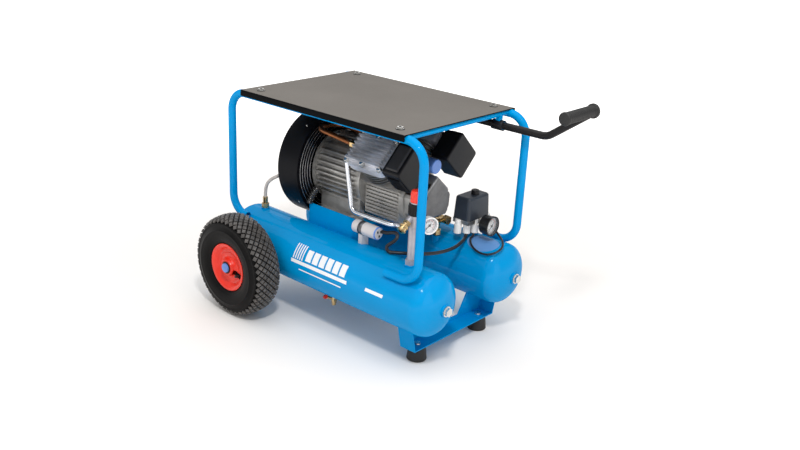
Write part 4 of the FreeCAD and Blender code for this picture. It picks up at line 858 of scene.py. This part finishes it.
def filter_panels():
    """Raised textured lid on each intake filter, with a pressed border."""
    for bank, word in ((0, "right"), (1, "left")):
        high = (64, 76)[bank] + 79.0
        turn = bank_turn(bank)
        bm = bmesh.new()
        add_block(bm, to_bank((88, -1, high + 2.2), bank), (0.036, 0.068, 0.0044), turn, 0.0030)
        add_mesh(word + "_filter_lid", bm, "frame", "panel_black", False)


def plate_washers():
    """Black washer under each bolt of the top plate, and a dark socket in its head."""
    bm = bmesh.new()
    for x in (-17.2, 437.0):
        for y in (-167.3, 167.3):
            washer = [(0.0, 0.0060), (0.0, 0.0102), (0.0007, 0.0102), (0.0012, 0.0096),
                      (0.0012, 0.0060)]
            lathe(bm, washer, mm(x, y, 556), (0, 0, 1), 40)
            lathe(bm, [(0.0, 0.0001), (0.0, 0.0030), (0.0004, 0.0030), (0.0004, 0.0001)],
                  mm(x, y, 561.3), (0, 0, 1), 24)
    add_mesh("plate_bolt_washers", bm, "frame", "black_plastic")


def handle_guides():
    """Black plastic bushes over the two sleeves that guide the handle."""
    for word, x in (("middle", 240.0), ("front", 468.0)):
        profile =  [(-0.0158, 0.0100), (-0.0158, 0.0118), (-0.0150, 0.0125), (0.0150, 0.0125),
                   (0.0158, 0.0118), (0.0158, 0.0100)]
        turned_piece(word + "_handle_guide", profile, mm(x, 151, 520), (1, 0, 0), "frame",
                     "black_plastic", 48)


def on_tank(x, tank_y, angle, proud):
    """Point over a tank's skin, at an angle above level on its right side."""
    away = Vector((0, -math.cos(angle), math.sin(angle)))
    return mm(x, tank_y, TANK_Z) + away * (TANK_R + proud)


def tank_label():
    """Blank oval label on top of the left tank: plain pale blue, with nothing printed on it."""
    bm = bmesh.new()
    rings = []
    for ring in range(1, 9):
        share = ring / 8
        row = []
        for number in range(64):
            a = 2 * math.pi * number / 64
            around = math.radians(74.5 + 23 * share * math.sin(a))
            x = 480 + 44 * share * math.cos(a)
            proud = 0.00030 if ring < 8 else 0.00005
            row.append(bm.verts.new(on_tank(x, TANK_Y, around, proud)))
        rings.append(row)
    bm.faces.new(rings[0])
    join_rings(bm, rings)
    add_mesh("tank_label_blank", bm, "frame", "label_blue")


def capacitor_trim():
    """Strap, crimped end and terminal tabs of the capacitor."""
    axis = mm(262, CAPACITOR_Y, CAPACITOR_Z)
    strap = [(0.0215, 0.0160), (0.0218, 0.0168), (0.0342, 0.0168), (0.0345, 0.0160)]
    turned_piece("capacitor_strap", strap, axis, (1, 0, 0), "frame", "dark_steel",
                 56)
    end =  [(0.0745, 0.0161), (0.0758, 0.0161), (0.0768, 0.0152), (0.0776, 0.0146),
           (0.0772, 0.0132), (0.0769, 0.0126), (0.0769, 0.0001)]
    turned_piece("capacitor_end", end, axis, (1, 0, 0), "frame", "cap_blue", 56)
    bm = bmesh.new()
    for y, z in ((5.5, 3.0), (-5.0, 4.5), (0.5, -6.5)):
        spot = mm(340.6, CAPACITOR_Y + y, CAPACITOR_Z + z)
        add_block(bm, spot, (0.0034, 0.0050, 0.0026), axes_of(FORWARD), 0.0006)
    add_mesh("capacitor_tabs", bm, "frame", "black_plastic", False)


def coupler_rings():
    """Knurled bands on the coupler's sleeve."""
    bm = bmesh.new()
    direction = Vector((0, -0.82, -0.57)).normalized()
    turn = axes_of(direction)
    base = mm(462, -155.5, 347.8)
    for along in (14.4, 24.0):
        for number in range(30):
            angle = 2 * math.pi * number / 30
            out = turn @ Vector((math.cos(angle), math.sin(angle), 0))
            side = direction.cross(out)
            around = Matrix((side, direction, out)).transposed()
            spot = base + direction * along / 1000 + out * 0.0101
            add_block(bm, spot, (0.0012, 0.0032, 0.0007), around, 0.0003)
    add_mesh("coupler_knurl", bm, "outlet_sleeve", "brass", False)


def stripe(bm, x0, x1, low, high, slant=0.0):
    """Thin painted band round the right tank's flank, between two angles above level."""
    rows = 8
    cols = 24
    grid = []
    for row in range(rows + 1):
        a = math.radians(low + (high - low) * row / rows)
        line = []
        for col in range(cols + 1):
            x = x0 + (x1 - x0) * col / cols + slant * row / rows
            line.append(bm.verts.new(on_tank(x, -TANK_Y, a, 0.00025)))
        grid.append(line)
    for row in range(rows):
        for col in range(cols):
            bm.faces.new((grid[row][col], grid[row][col + 1],
                          grid[row + 1][col + 1], grid[row + 1][col]))


def tank_stripes():
    """Plain white bars: a generic trim with no lettering."""
    bm = bmesh.new()
    for number in range(5):
        stripe(bm, 144 + 7.5 * number, 147.5 + 7.5 * number, 14, 43, 4)
    for number in range(6):
        stripe(bm, 187 + 23 * number, 205 + 23 * number, 16, 38, 2)
    stripe(bm, 140, 330, 5.5, 12)
    stripe(bm, 168, 312, -5.5, -3)
    stripe(bm, 388, 442, 9, 15, 2)
    add_mesh("tank_stripes", bm, "frame", "stripe_white")


head_bolts()
motor_fins()
pump_pipes()
filter_louvres()
cowl_rivets()
cowl_seam()
capacitor_trim()
coupler_rings()
tank_stripes()
fan_guard()
regulator_bonnet()
filter_panels()
handle_guides()
plate_washers()
tank_label()


# ---- studio ----

def area_light(name, place, target, size, power):
    data = bpy.data.lights.new(name, "AREA")
    data.energy = power
    data.size = size
    obj = bpy.data.objects.new(name, data)
    obj.location = place
    aim = Vector(target) - Vector(place)
    obj.rotation_euler = aim.to_track_quat("-Z", "Y").to_euler()
    bpy.context.scene.collection.objects.link(obj)


def floor_finish():
    """Pale studio floor that brightens to plain white well away from the object."""
    mat, tree, shader = nodes_of("floor_pale")
    slow = noise(tree, 1.5, 3.0)
    pale = ramp(tree, slow.outputs["Fac"], (0.92, 0.89, 0.86), (0.94, 0.91, 0.88))
    tree.links.new(pale, shader.inputs["Base Color"])
    shader.inputs["Roughness"].default_value = 0.8
    shader.inputs["Specular IOR Level"].default_value = 0.1
    coords = tree.nodes.new("ShaderNodeTexCoord")
    length = tree.nodes.new("ShaderNodeVectorMath")
    length.operation = "LENGTH"
    tree.links.new(coords.outputs["Object"], length.inputs[0])
    far = tree.nodes.new("ShaderNodeMapRange")
    far.interpolation_type = "SMOOTHSTEP"
    far.inputs["From Min"].default_value = 0.7
    far.inputs["From Max"].default_value = 2.4
    far.inputs["To Max"].default_value = 0.8
    tree.links.new(length.outputs["Value"], far.inputs["Value"])
    tree.links.new(far.outputs["Result"], shader.inputs["Emission Strength"])
    shader.inputs["Emission Color"].default_value = (1, 1, 1, 1)
    return mat


def studio():
    bm = bmesh.new()
    for x, y in ((-20, -20), (20, -20), (20, 20), (-20, 20)):
        bm.verts.new((x, y, 0))
    bm.faces.new(bm.verts[:])
    mesh = bpy.data.meshes.new("floor")
    bm.to_mesh(mesh)
    bm.free()
    floor = bpy.data.objects.new("floor", mesh)
    bpy.context.scene.collection.objects.link(floor)
    floor.data.materials.append(floor_finish())
    world = bpy.data.worlds.new("studio")
    world.use_nodes = True
    tree = world.node_tree
    tree.nodes["Background"].inputs["Strength"].default_value = 0.70
    coords = tree.nodes.new("ShaderNodeTexCoord")
    split = tree.nodes.new("ShaderNodeSeparateXYZ")
    tree.links.new(coords.outputs["Generated"], split.inputs["Vector"])
    sky = tree.nodes.new("ShaderNodeValToRGB")
    stops = sky.color_ramp.elements
    for position, grey in ((0.0, 1.5), (0.03, 1.3), (0.25, 0.45), (0.6, 1.1), (1.0, 1.3)):
        if position in (0.0, 1.0):
            stop = stops[0 if position == 0.0 else -1]
        else:
            stop = stops.new(position)
        stop.color = (grey, grey, grey, 1)
    tree.links.new(split.outputs["Z"], sky.inputs["Fac"])
    tree.links.new(sky.outputs["Color"], tree.nodes["Background"].inputs["Color"])
    bpy.context.scene.world = world
    area_light("overhead", (0.1, -0.1, 2.6), (0, 0, 0.2), 2.4, 20)
    area_light("key", (0.95, -1.12, 2.15), (0.0, 0.0, 0.25), 0.24, 21)
    area_light("rear", (-1.9, 1.6, 1.7), (0, 0, 0.3), 1.2, 4)
    area_light("front", (2.3, -0.3, 0.75), (0.15, 0, 0.15), 1.0, 3.5)
    scene = bpy.context.scene
    scene.view_settings.view_transform = "Standard"
    scene.view_settings.look = "None"


studio()
